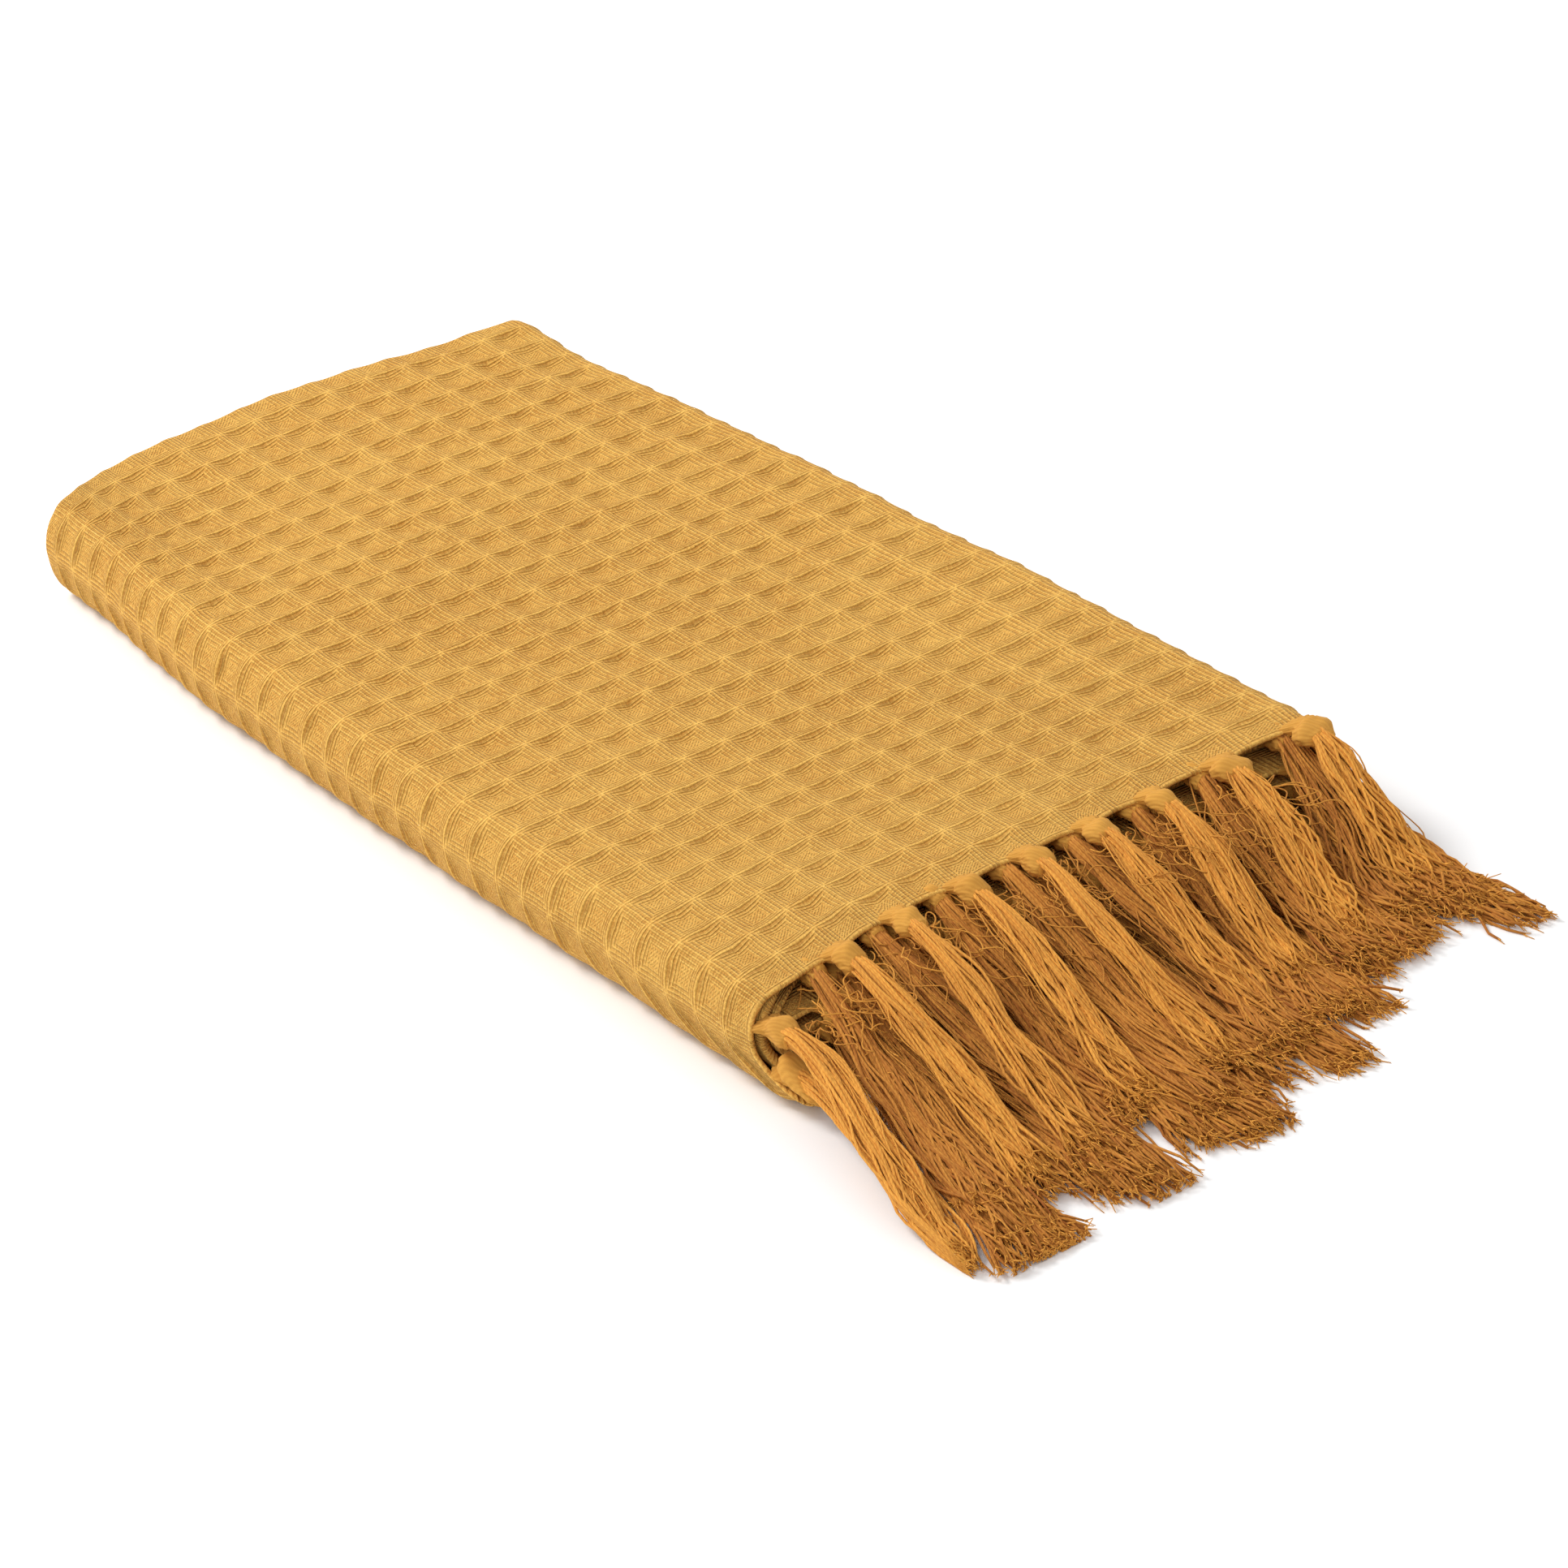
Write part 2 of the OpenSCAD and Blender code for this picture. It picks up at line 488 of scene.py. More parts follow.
class MeshStock:
    """Collects the points and faces of one piece, and a vector of numbers for the shader at each corner."""

    def __init__(self) -> None:
        """Starts empty."""
        self.points: list[np.ndarray] = []
        self.faces: list[np.ndarray] = []
        self.marks: list[np.ndarray] = []
        self.normals: list[np.ndarray] = []
        self.count = 0

    def add(self, points: np.ndarray, faces: Sequence[np.ndarray], marks: Sequence[np.ndarray],
            normals: Sequence[np.ndarray] | None = None) -> None:
        """Adds points and the faces between them.

        Args:
            points: The points, in millimetres.
            faces: Arrays of equal faces, each row the numbers of one face's points.
            marks: For each array of faces, three numbers at every corner.
            normals: For each array of faces, a normal at every corner, or nothing for plain normals.
        """
        for number, group in enumerate(faces):
            self.faces.append(np.asarray(group, int) + self.count)
            self.marks.append(np.asarray(marks[number], float).reshape(-1, 3))
            own = np.zeros((group.size, 3)) if normals is None else np.asarray(normals[number]).reshape(-1, 3)
            self.normals.append(own)
        self.points.append(points.reshape(-1, 3))
        self.count += len(points.reshape(-1, 3))

    def object(self, name: str, mark: str, material: bpy.types.Material) -> bpy.types.Object:
        """Makes the mesh object, in metres.

        Args:
            name: The piece's name.
            mark: The name under which the shader finds the corner numbers.
            material: The piece's finish.

        Returns:
            The new object.
        """
        mesh = bpy.data.meshes.new(name)
        points = np.concatenate(self.points) * MM
        sizes = np.concatenate([np.full(len(group), group.shape[1]) for group in self.faces])
        corners = np.concatenate([group.ravel() for group in self.faces])
        mesh.vertices.add(len(points))
        mesh.vertices.foreach_set("co", points.astype(np.float32).ravel())
        mesh.loops.add(len(corners))
        mesh.loops.foreach_set("vertex_index", corners.astype(np.int32))
        mesh.polygons.add(len(sizes))
        starts = np.concatenate([[0], np.cumsum(sizes)[:-1]])
        mesh.polygons.foreach_set("loop_start", starts.astype(np.int32))
        mesh.update(calc_edges=True)
        mesh.polygons.foreach_set("use_smooth", np.ones(len(sizes), bool))
        layer = mesh.attributes.new(mark, "FLOAT_VECTOR", "CORNER")
        layer.data.foreach_set("vector", np.concatenate(self.marks).astype(np.float32).ravel())
        own = np.concatenate(self.normals)
        if np.any(own):
            mesh.normals_split_custom_set(own.astype(np.float32))
        mesh.materials.append(material)
        made = bpy.data.objects.new(name, mesh)
        bpy.context.scene.collection.objects.link(made)
        LOG.info("%s: %d faces", name, len(sizes))
        return made


def grid_faces(rows: int, columns: int) -> np.ndarray:
    """Joins a grid of points, whose rows follow each other, into four-sided faces.

    Args:
        rows: How many rows there are.
        columns: How many points a row has.

    Returns:
        The faces, each row the numbers of one face's points.
    """
    first = np.arange(rows - 1)[:, None] * columns + np.arange(columns - 1)[None, :]
    return np.stack([first, first + 1, first + columns + 1, first + columns], -1).reshape(-1, 4)


def grid_marks(marks: np.ndarray, faces: np.ndarray) -> np.ndarray:
    """The numbers at the corners of a grid's faces, from the numbers at its points."""
    return marks.reshape(-1, 3)[faces]


def add_tubes(stock: MeshStock, lines: np.ndarray, radii: np.ndarray, own: np.ndarray, sides: int,
              start: float = 0.0) -> None:
    """Sweeps round tubes along many lines at once and closes their ends.

    Args:
        stock: The piece that they belong to.
        lines: Points of the lines, shape (tubes, rings, 3).
        radii: Radius at each ring, shape (tubes, rings).
        own: A number of 0 to 1 for each tube.
        sides: How many sides a tube has.
        start: Length along the yarn at the first ring.
    """
    tubes, rings, _ = lines.shape
    run = np.gradient(lines, axis=1)
    run /= np.linalg.norm(run, axis=2, keepdims=True) + 1e-9
    guide = np.where(np.abs(run[..., 2:3]) > 0.9, [[[0.0, 1.0, 0.0]]], [[[0.0, 0.0, 1.0]]])
    side = np.cross(run, guide)
    side /= np.linalg.norm(side, axis=2, keepdims=True) + 1e-9
    rise = np.cross(side, run)
    turn = np.arange(sides) * TAU / sides
    ring = side[:, :, None] * np.cos(turn)[:, None] + rise[:, :, None] * np.sin(turn)[:, None]
    points = lines[:, :, None] + ring * radii[:, :, None, None]
    tube, level, spot = np.meshgrid(np.arange(tubes), np.arange(rings - 1), np.arange(sides), indexing="ij")
    after = (spot + 1) % sides

    def number(tube: np.ndarray, level: np.ndarray, spot: np.ndarray) -> np.ndarray:
        """Counts up to a point.

        Args:
            tube: The number of its tube.
            level: The number of its ring.
            spot: Its place on the ring.

        Returns:
            The point's number in the mesh.
        """
        return (tube * rings + level) * sides + spot

    quads = np.stack([number(tube, level, spot), number(tube, level, after),
                      number(tube, level + 1, after), number(tube, level + 1, spot)], -1).reshape(-1, 4)
    step = np.linalg.norm(np.diff(lines, axis=1), axis=2)
    along = start + np.concatenate([np.zeros((tubes, 1)), np.cumsum(step, axis=1)], axis=1)
    low, high = along[tube, level], along[tube, level + 1]
    left, right = spot / sides, (spot + 1) / sides
    mine = own[tube]
    marks = np.stack([np.stack([low, left, mine], -1), np.stack([low, right, mine], -1),
                      np.stack([high, right, mine], -1), np.stack([high, left, mine], -1)], -2)
    every = np.arange(tubes)[:, None]
    around = np.arange(sides)[None, :]
    first = number(every, 0, around)[:, ::-1]
    last = number(every, rings - 1, around)
    cap = np.zeros((tubes, sides, 3))
    cap[..., 2] = own[:, None]
    stock.add(points, [quads, first, last], [marks.reshape(-1, 4, 3), cap, cap])


# ---------------------------------------------------------------- the fold


@dataclass(frozen=True)
class FoldPlan:
    """Where the folds lie, in millimetres, read from the boxes of the frame."""

    x_flat: float
    x_hem: float
    x_tip: float
    y_spine: float
    y_spine_c: float
    y_far_c: float
    y_selvedge: tuple[float, ...]
    stack: float
    ply: float
    pitch: float

    @classmethod
    def from_frame(cls) -> "FoldPlan":
        """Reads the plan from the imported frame.

        Returns:
            The plan.
        """
        top_low, top_high = box_mm("panel_1")
        under_low, _ = box_mm("panel_2")
        spine_low, _ = box_mm("spine_upper_1")
        lower = range(LEAF_PLIES + 1, PLIES + 1)
        selvedges = tuple(float(box_mm(f"panel_{ply}")[1][1]) for ply in lower)
        return cls(
            x_flat=float(top_low[0]), x_hem=float(top_high[0]), x_tip=float(box_mm(f"tassels_{PLIES}")[1][0]),
            y_spine=float(spine_low[1]), y_spine_c=float(top_low[1]), y_far_c=float(top_high[1]),
            y_selvedge=selvedges, stack=float(top_high[2]), ply=float(top_high[2] - top_low[2]),
            pitch=float(top_low[2] - under_low[2]))

    @property
    def z_mid(self) -> float:
        """Half the height of the stack."""
        return self.stack / 2

    @property
    def pair(self) -> float:
        """Height of the middle of the lowest pair of plies."""
        return self.ply + (self.pitch - self.ply) / 2

    @property
    def y_far(self) -> float:
        """The far side of the lowest ply."""
        return self.y_selvedge[-1]

    @property
    def x_end(self) -> float:
        """The outermost line of the smooth end."""
        return self.x_flat - self.pair

    def ply_z(self, ply: int) -> float:
        """Works out how high a ply lies.

        Args:
            ply: The ply's number, from the top.

        Returns:
            Height of its middle, in millimetres.
        """
        if ply <= LEAF_PLIES:
            return self.stack - (ply - 1) * self.pitch - self.ply / 2
        return (PLIES - ply) * self.pitch + self.ply / 2


class Turn(Enum):
    """What a stretch of the fold path does."""

    OVER_BACK = "flat, towards the spine"
    OVER_OUT = "flat, away from the spine"
    SPINE = "round the spine, from the bottom to the top"
    FAR = "round the far side, from the top down"
    INNER = "round the inside of the spine, from the top down"


@dataclass(frozen=True)
class Stretch:
    """One stretch of the fold path, which starts this far along the whole path.

    Its level is the height of its middle line, or of the line that it turns about at this radius.
    """

    turn: Turn
    length: float
    start: float
    level: float
    radius: float = 0.0


class FoldPath:
    """The middle line between the two plies of the folded cloth, seen along the throw.

    It starts at the lowest selvedge, goes round the spine, over the top, round the far side, back, round the
    inside of the spine and ends at the innermost selvedge.
    """

    # The spine is squarer than a half round, so more cloth goes round it
    SPINE_EASE = 1.06
    SQUARENESS = 0.7

    def __init__(self, plan: FoldPlan) -> None:
        """Lays out the stretches.

        Args:
            plan: Where the folds lie.
        """
        self.plan = plan
        half = plan.pitch / 2
        flat = plan.y_far_c - plan.y_spine_c
        spine = plan.z_mid - plan.pair
        far = plan.pitch
        inner = spine - 2 * plan.pitch
        top = plan.stack - plan.pair
        parts = [
            (Turn.OVER_BACK, plan.y_far - plan.y_spine_c, plan.pair, 0.0),
            (Turn.SPINE, math.pi * (spine + half) * self.SPINE_EASE, plan.z_mid, spine),
            (Turn.OVER_OUT, flat, top, 0.0),
            (Turn.FAR, math.pi * (far + half), top - far, far),
            (Turn.OVER_BACK, flat, top - 2 * far, 0.0),
            (Turn.INNER, math.pi * inner, plan.z_mid, inner),
            (Turn.OVER_OUT, plan.y_selvedge[1] - plan.y_spine_c, plan.pair + 2 * plan.pitch, 0.0),
        ]
        self.stretches: list[Stretch] = []
        start = 0.0
        for turn, length, level, radius in parts:
            self.stretches.append(Stretch(turn, length, start, level, radius))
            start += length
        self.length = start

    def place(self, stretch: Stretch, along: np.ndarray, lift: np.ndarray) -> tuple[np.ndarray, np.ndarray]:
        """Where points of one stretch lie, seen along the throw.

        Args:
            stretch: The stretch.
            along: Share of the stretch's length, 0 to 1.
            lift: Distance from the middle line, towards the side of the outer ply.

        Returns:
            The places across the throw, and the heights.
        """
        plan = self.plan
        if stretch.turn is Turn.OVER_BACK:
            return plan.y_spine_c + (1 - along) * stretch.length, stretch.level - lift
        if stretch.turn is Turn.OVER_OUT:
            return plan.y_spine_c + along * stretch.length, stretch.level + lift
        if stretch.turn is Turn.SPINE:
            angle = math.pi * (1 - along)
            reach = stretch.radius + lift
            square = 2 + self.SQUARENESS * (reach / plan.z_mid) ** 2
            swell = (np.abs(np.cos(angle)) ** square + np.abs(np.sin(angle)) ** square) ** (-1 / square)
            reach = reach * swell
            return plan.y_spine_c - reach * np.sin(angle), stretch.level + reach * np.cos(angle)
        angle = math.pi * along
        if stretch.turn is Turn.FAR:
            reach = stretch.radius + lift
            return plan.y_far_c + reach * np.sin(angle), stretch.level + reach * np.cos(angle)
        reach = stretch.radius - lift
        return plan.y_spine_c - reach * np.sin(angle), stretch.level + reach * np.cos(angle)

    def locate(self, travel: np.ndarray, lift: np.ndarray) -> tuple[np.ndarray, np.ndarray]:
        """Where points lie, seen along the throw.

        Args:
            travel: Distance along the whole path.
            lift: Distance from the middle line, towards the side of the outer ply.

        Returns:
            The places across the throw, and the heights.
        """
        across = np.zeros(np.broadcast(travel, lift).shape)
        height = np.zeros_like(across)
        travel = np.broadcast_to(travel, across.shape)
        lift = np.broadcast_to(lift, across.shape)
        last = len(self.stretches) - 1
        for number, stretch in enumerate(self.stretches):
            low = -np.inf if number == 0 else stretch.start
            high = np.inf if number == last else stretch.start + stretch.length
            mine = (travel >= low) & (travel < high)
            share = (travel[mine] - stretch.start) / stretch.length
            across[mine], height[mine] = self.place(stretch, share, lift[mine])
        return across, height


@dataclass
class Drape:
    """How the soft throw departs from its flat plan: a full end, a flatter hem, and slow waves.

    The swells are shares of the flat height, and the other sizes are the most that a point moves.
    """

    plan: FoldPlan
    end_swell: float = 1.03
    hem_swell: float = 0.93
    wave_height: float = 1.1
    corner_bump: float = 3.2
    corner_dip: float = 2.6
    spine_pull: float = 15.0
    far_fullness: float = 11.0
    bow: float = 11.0
    hem_reach: float = 16.0
    foot_reach: float = 24.0
    hem_slope: float = 12.0

    def settle(self, points: np.ndarray) -> np.ndarray:
        """Moves points of the flat plan to where the cloth really lies.

        Args:
            points: Points in millimetres, any shape that ends in 3.

        Returns:
            The moved points, in the same shape.
        """
        plan = self.plan
        x, y, z = (points[..., axis] for axis in range(3))
        from_end = x - plan.x_end
        share = from_end / (plan.x_hem - plan.x_end)
        level = z / plan.stack
        x_shift = self._end_shift(y, from_end) + self._hem_shift(y, level, share)
        y_shift = self._spine_shift(x, y, level, from_end, share) + self._far_shift(x, y, share)
        return np.stack([x + x_shift, y + y_shift, z + self._rise(x, y, z, share)], -1)

    def _rise(self, x: np.ndarray, y: np.ndarray, z: np.ndarray, share: np.ndarray) -> np.ndarray:
        """How far the upper leaf rises; the middle of the stack stays where it is.

        Args:
            x: Places along the throw, in millimetres.
            y: Places across it.
            z: Heights.
            share: Share of the way from the smooth end to the hem.

        Returns:
            Rises in millimetres.
        """
        plan = self.plan
        from_end, to_far = x - plan.x_end, plan.y_far - y
        upper = np.clip(z - plan.z_mid, 0, None)
        swell = self.end_swell + (self.hem_swell - self.end_swell) * smooth(share, 0.0, 1.0)
        wave = ripple(x, y, 150, 3) * (1.25 - 0.6 * np.clip(share, 0, 1)) + 0.5 * ripple(x, y, 60, 8)
        bump = np.exp(-((from_end - 16) ** 2 + (to_far - 16) ** 2) / (2 * 17.0**2))
        dip = np.exp(-(((from_end - 72) / 30) ** 2 + ((to_far - 4) / 26) ** 2))
        loft = self.wave_height * wave + self.corner_bump * bump - self.corner_dip * dip
        return upper * 2 * (swell - 1) + upper / plan.z_mid * loft

    def _spine_shift(self, x: np.ndarray, y: np.ndarray, level: np.ndarray, from_end: np.ndarray,
                     share: np.ndarray) -> np.ndarray:
        """How far the spine moves across: in at the smooth end, and a little to and fro.

        Args:
            x: Places along the throw, in millimetres.
            y: Places across it.
            level: Height, as a share of the stack.
            from_end: Distance from the smooth end.
            share: Share of the way from the smooth end to the hem.

        Returns:
            Shifts in millimetres.
        """
        near_spine = 1 - smooth(y - self.plan.y_spine, 0, 70)
        pulled = near_spine * self.spine_pull * (1 - smooth(from_end, 10, 235))
        swayed = near_spine * (0.8 * ripple(x, 0 * y, 85, 5) - 2.5 * smooth(share, 0.35, 0.6))
        return pulled + swayed - near_spine * (1 - level) * 3.0 * smooth(share, 0.85, 1.1)

    def _far_shift(self, x: np.ndarray, y: np.ndarray, share: np.ndarray) -> np.ndarray:
        """How far the far side stands out along the throw.

        Args:
            x: Places along the throw, in millimetres.
            y: Places across it.
            share: Share of the way from the smooth end to the hem.

        Returns:
            Shifts in millimetres.
        """
        full = smooth(share, 0.02, 0.45) * (1 - 0.4 * smooth(share, 1.0, 1.15))
        full = full + 0.5 * smooth(share, 0.4, 0.7)
        near_far = smooth(70 - (self.plan.y_far - y), 0, 70)
        return near_far * (self.far_fullness * full + 0.8 * ripple(x, 0 * y, 110, 6))

    def _end_shift(self, y: np.ndarray, from_end: np.ndarray) -> np.ndarray:
        """How far the smooth end moves: out in the middle, and back at both corners.

        Args:
            y: Places across the throw, in millimetres.
            from_end: Distance from the smooth end.

        Returns:
            Shifts in millimetres.
        """
        middle = self.plan.y_spine_c + (self.plan.y_far - self.plan.y_spine_c) * 0.48
        half = (self.plan.y_far - self.plan.y_spine) / 3
        arch = np.clip(((y - middle) / half) ** 2 * 1.1 - 1, None, 1.4)
        fade = np.exp(-np.clip(from_end, 0, None) / 60)
        return fade * (self.bow * arch + 1.2 * ripple(0 * y, y, 90, 7))

    def _hem_shift(self, y: np.ndarray, level: np.ndarray, share: np.ndarray) -> np.ndarray:
        """How far the hem moves: out towards the spine and the floor, and back on the upper plies.

        Args:
            y: Places across the throw, in millimetres.
            level: Height, as a share of the stack.
            share: Share of the way from the smooth end to the hem.

        Returns:
            Shifts in millimetres.
        """
        hem = smooth(share, 0.72, 1.0)
        corner = 1 - smooth(y - self.plan.y_spine, 0, 105)
        past = 1 - 0.6 * smooth(share, 1.02, 1.22)
        reach = self.hem_reach + self.foot_reach * (1 - smooth(level, 0.05, 0.5))
        slope = self.hem_slope * np.clip(level, 0, 1.1) ** 1.2
        return hem * (past * corner * reach - slope + 2.0 * ripple(0 * y, y, 120, 9))


@dataclass(frozen=True)
class Weave:
    """The relief of the waffle: square pits between ridges, with a curled edge on one side of each ridge.

    The cell sizes are distances between ridges. The first ridges are measured from the smooth end and from
    the line where the far side starts to turn. Depth, sag and lip are depths, and star draws the pits in at
    their corners.
    """

    cell_x: float = 20.57
    cell_y: float = 22.0
    first_ridge_x: float = 18.9
    first_ridge_y: float = 0.6
    depth: float = 1.75
    sag: float = 0.45
    lip: float = 1.5
    star: float = 0.3

    def pit(self, cell_x: np.ndarray, cell_y: np.ndarray) -> np.ndarray:
        """How far the surface lies below the highest corners of the ridges.

        Args:
            cell_x: Place along the throw, in cells; ridges lie at whole numbers.
            cell_y: Place across it, in cells.

        Returns:
            Depths in millimetres.
        """
        wander = 0.03 * ripple(cell_x * 20, cell_y * 22, 47, 21)
        drift = 0.045 * ripple(cell_x * 20, cell_y * 22, 41, 22)
        u = 2 * np.mod(cell_x + wander, 1) - 1
        v = 2 * np.mod(cell_y + drift, 1) - 1
        rim = np.maximum(np.abs(u), np.abs(v)) + self.star * np.minimum(np.abs(u), np.abs(v))
        slope = 1 - np.clip(rim, 0, 1.05) ** 1.4
        row, column = np.floor(cell_x + wander), np.floor(cell_y + drift)
        own = 1 + 0.3 * ripple(row * 37, column * 41, 53, 23)
        fall = smooth(u, -1, -0.86) * (1 - smooth(u, -0.8, 0.1))
        lip = fall * np.clip(1 - np.abs(v) / 0.8, 0, 1) ** 0.7
        sag = self.sag * ((1 - u**2) * 0.8 + (1 - v**2) * 0.6)
        curl = self.lip * lip * (1 + 0.5 * ripple(row * 29, column * 31, 47, 24))
        return np.clip(self.depth * slope * own, 0, None) + sag + np.clip(curl, 0, None)


class Hold(Enum):
    """What a strip of cloth follows when the upper leaf opens."""

    LOWER = "lower_leaf"
    UPPER = "upper_leaf"
    BOTH = "both"


@dataclass(frozen=True)
class Strip:
    """One stretch of the folded cloth, and the nodes of the frame that it stands for.

    Fine_x and fine_y are how many faces its mesh has to a cell.
    """

    name: str
    stretch: int
    nodes: tuple[str, ...]
    hold: Hold
    fine_x: int
    fine_y: int
    outer_ply: int
    inner_ply: int


TOP_STRETCH = 2
STRIPS = (
    Strip("cloth_bottom_pair", 0, ("panel_8", "panel_7", "end_fold_7_8"), Hold.LOWER, 8, 8, 8, 7),
    Strip("cloth_spine_outer_pair", 1, ("spine_upper_1", "spine_upper_2", "spine_lower_1", "spine_lower_2"),
          Hold.BOTH, 13, 14, 1, 2),
    Strip("cloth_top_pair", 2, ("panel_1", "panel_2", "end_fold_1_2"), Hold.UPPER, 13, 14, 1, 2),
    Strip("cloth_far_pair", 3, ("far_fold_outer", "far_fold_inner", "far_end_fold"),
          Hold.UPPER, 13, 14, 1, 2),
    Strip("cloth_second_pair", 4, ("panel_3", "panel_4", "end_fold_3_4"), Hold.UPPER, 9, 9, 4, 3),
    Strip("cloth_spine_inner_pair", 5, ("spine_upper_3", "spine_upper_4", "spine_lower_3", "spine_lower_4"),
          Hold.BOTH, 9, 20, 4, 3),
    Strip("cloth_third_pair", 6, ("panel_5", "panel_6", "end_fold_5_6"), Hold.LOWER, 9, 9, 5, 6),
)


@dataclass
class WaffleCloth:
    """The woven cloth, folded end to end and then twice across, as closed strips that meet edge to edge."""

    plan: FoldPlan
    drape: Drape
    knots: dict[int, np.ndarray]
    weave: Weave = field(default_factory=Weave)
    finish: WaffleCotton = field(default_factory=WaffleCotton)
    hem_fade: float = 18.0
    hem_thinning: float = 2.3
    inner_gap: float = 1.1
    nose_rings: int = 12
    hidden_step: float = 16.0
    selvedge_round: float = 3.0
    hinge_band: float = 0.002
    scallop_out: float = 6.5
    scallop_back: float = 3.2
    scallop_reach: float = 5.0

    def build(self) -> list[bpy.types.Object]:
        """Builds and dresses every strip.

        Returns:
            The strips, in the order of STRIPS.
        """
        path = FoldPath(self.plan)
        material = self.finish.material()
        pieces = []
        for strip in STRIPS:
            piece = self._strip(path, strip, material)
            self._hold(piece, strip)
            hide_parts(*strip.nodes)
            pieces.append(piece)
        return pieces

    def declare(self, pieces: Sequence[bpy.types.Object], fringe: dict[int, list[bpy.types.Object]]) -> None:
        """Works out each strip's width and the fringe of its plies, and does nothing more with them.

        Args:
            pieces: The strips, in the order of STRIPS.
            fringe: For each ply, the knots and tassels at its hem.
        """
        path = FoldPath(self.plan)
        for strip, piece in zip(STRIPS, pieces):
            stretch = path.stretches[strip.stretch]
            flat_ply = not stretch.radius
            with_pieces = fringe[strip.outer_ply] + fringe[strip.inner_ply] if flat_ply else []
            width = stretch.length if flat_ply else math.pi * stretch.radius
            width * MM

    def _hold(self, piece: bpy.types.Object, strip: Strip) -> None:
        """Ties a strip to the leaf that it follows, or bakes the transform of a strip that lies between both.

        Args:
            piece: The strip's mesh.
            strip: The strip.
        """
        if strip.hold is not Hold.BOTH:
            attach(piece, strip.hold.value)
            return
        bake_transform(piece)

    def _columns(self, strip: Strip) -> tuple[np.ndarray, np.ndarray]:
        """Places along a pair of plies, from the outer ply's hem round the smooth end to the other hem.

        Args:
            strip: The strip, which says how fine the mesh is.

        Returns:
            The place along the throw, and the angle round the end: 0 on the outer ply, half a turn on the
            other.
        """
        plan, weave = self.plan, self.weave
        step = weave.cell_x / strip.fine_x
        first = plan.x_end + weave.first_ridge_x
        count_up = int((plan.x_hem - first) / step)
        count_down = int((first - plan.x_flat) / step)
        inside = first + np.arange(-count_down, count_up + 1) * step
        inside = inside[(inside > plan.x_flat + step * 0.3) & (inside < plan.x_hem - step * 0.3)]
        outer = np.concatenate([[plan.x_hem], inside[::-1], [plan.x_flat]])
        angles = np.linspace(0, math.pi, self.nose_rings + 1)[1:-1]
        back = np.linspace(plan.x_flat, plan.x_hem, int((plan.x_hem - plan.x_flat) / self.hidden_step))
        along = np.concatenate([outer, np.full(len(angles), plan.x_flat), back])
        turn = np.concatenate([np.zeros(len(outer)), angles, np.full(len(back), math.pi)])
        return along, turn

    def _rows(self, path: FoldPath, strip: Strip) -> np.ndarray:
        """Places along the fold path, with a row on each ridge, and one row past each end.

        Args:
            path: The fold path.
            strip: The strip.

        Returns:
            Distances along the path.
        """
        stretch = path.stretches[strip.stretch]
        step = self.weave.cell_y / strip.fine_y
        origin = self._ridge_origin(path)
        low, high = stretch.start, stretch.start + stretch.length
        first = math.ceil((low - origin) / step + 0.35)
        last = math.floor((high - origin) / step - 0.35)
        inside = origin + np.arange(first, last + 1) * step
        if strip.hold is Hold.BOTH:
            inside = self._clear_of_hinge(inside, (low + high) / 2, step)
        return np.concatenate([[low - step, low], inside, [high, high + step]])

    def _clear_of_hinge(self, rows: np.ndarray, middle: float, step: float) -> np.ndarray:
        """Moves the rows so that none lies on the line where the cloth passes from one leaf to the other.

        Args:
            rows: Distances along the path.
            middle: Where that line is.
            step: Distance from row to row.

        Returns:
            The rows, with two beside the line instead of those near it.
        """
        rows = rows[np.abs(rows - middle) > step * 0.75]
        return np.sort(np.concatenate([rows, [middle - step * 0.3, middle + step * 0.3]]))

    def _ridge_origin(self, path: FoldPath) -> float:
        """Distance along the path of the ridge nearest to the far side, on the top ply."""
        top = path.stretches[TOP_STRETCH]
        return top.start + (self.plan.y_far_c - self.weave.first_ridge_y - self.plan.y_spine_c)

    def _strip(self, path: FoldPath, strip: Strip, material: bpy.types.Material) -> bpy.types.Object:
        """Builds one strip: its outer face with the relief, its inner face and its edges.

        Args:
            path: The fold path.
            strip: The strip.
            material: The cloth's finish.

        Returns:
            The strip's mesh object.
        """
        plan, weave = self.plan, self.weave
        stretch = path.stretches[strip.stretch]
        along, turn = self._columns(strip)
        rows = self._rows(path, strip)
        half = plan.pitch / 2
        nose = turn * half * 1.4
        cell_x = ((along - plan.x_end - weave.first_ridge_x) - nose) / weave.cell_x
        cell_y = (rows - self._ridge_origin(path)) / weave.cell_y
        grid_x, grid_y = np.meshgrid(cell_x, cell_y)
        place = np.broadcast_to(along, grid_x.shape)
        bend = np.broadcast_to(turn, grid_x.shape)
        travel = np.broadcast_to(rows[:, None], grid_x.shape)
        to_hem = plan.x_hem - place
        relief = smooth(to_hem, 2, self.hem_fade)
        edge = self._edge(path, strip, travel)
        soft = {Turn.SPINE: 0.8, Turn.FAR: 0.35}.get(stretch.turn, 1.0)
        shown = (1 - 0.8 * smooth(bend, 0, 0.8)) * (0.45 + 0.55 * smooth(place - plan.x_flat, -6, 20))
        depth = weave.pit(grid_x, grid_y) * relief * soft * shown
        depth = depth + (1 - relief) * self._thinning(stretch, travel, bend)
        face = half + (plan.ply / 2 - depth) * edge
        back = half - (plan.ply / 2 - self.inner_gap) * edge
        outer = self._points(path, strip, place, bend, travel, face)
        pick = self._inner_columns(along, turn)
        inner = self._points(path, strip, place[:, pick], bend[:, pick], travel[:, pick], back[:, pick])
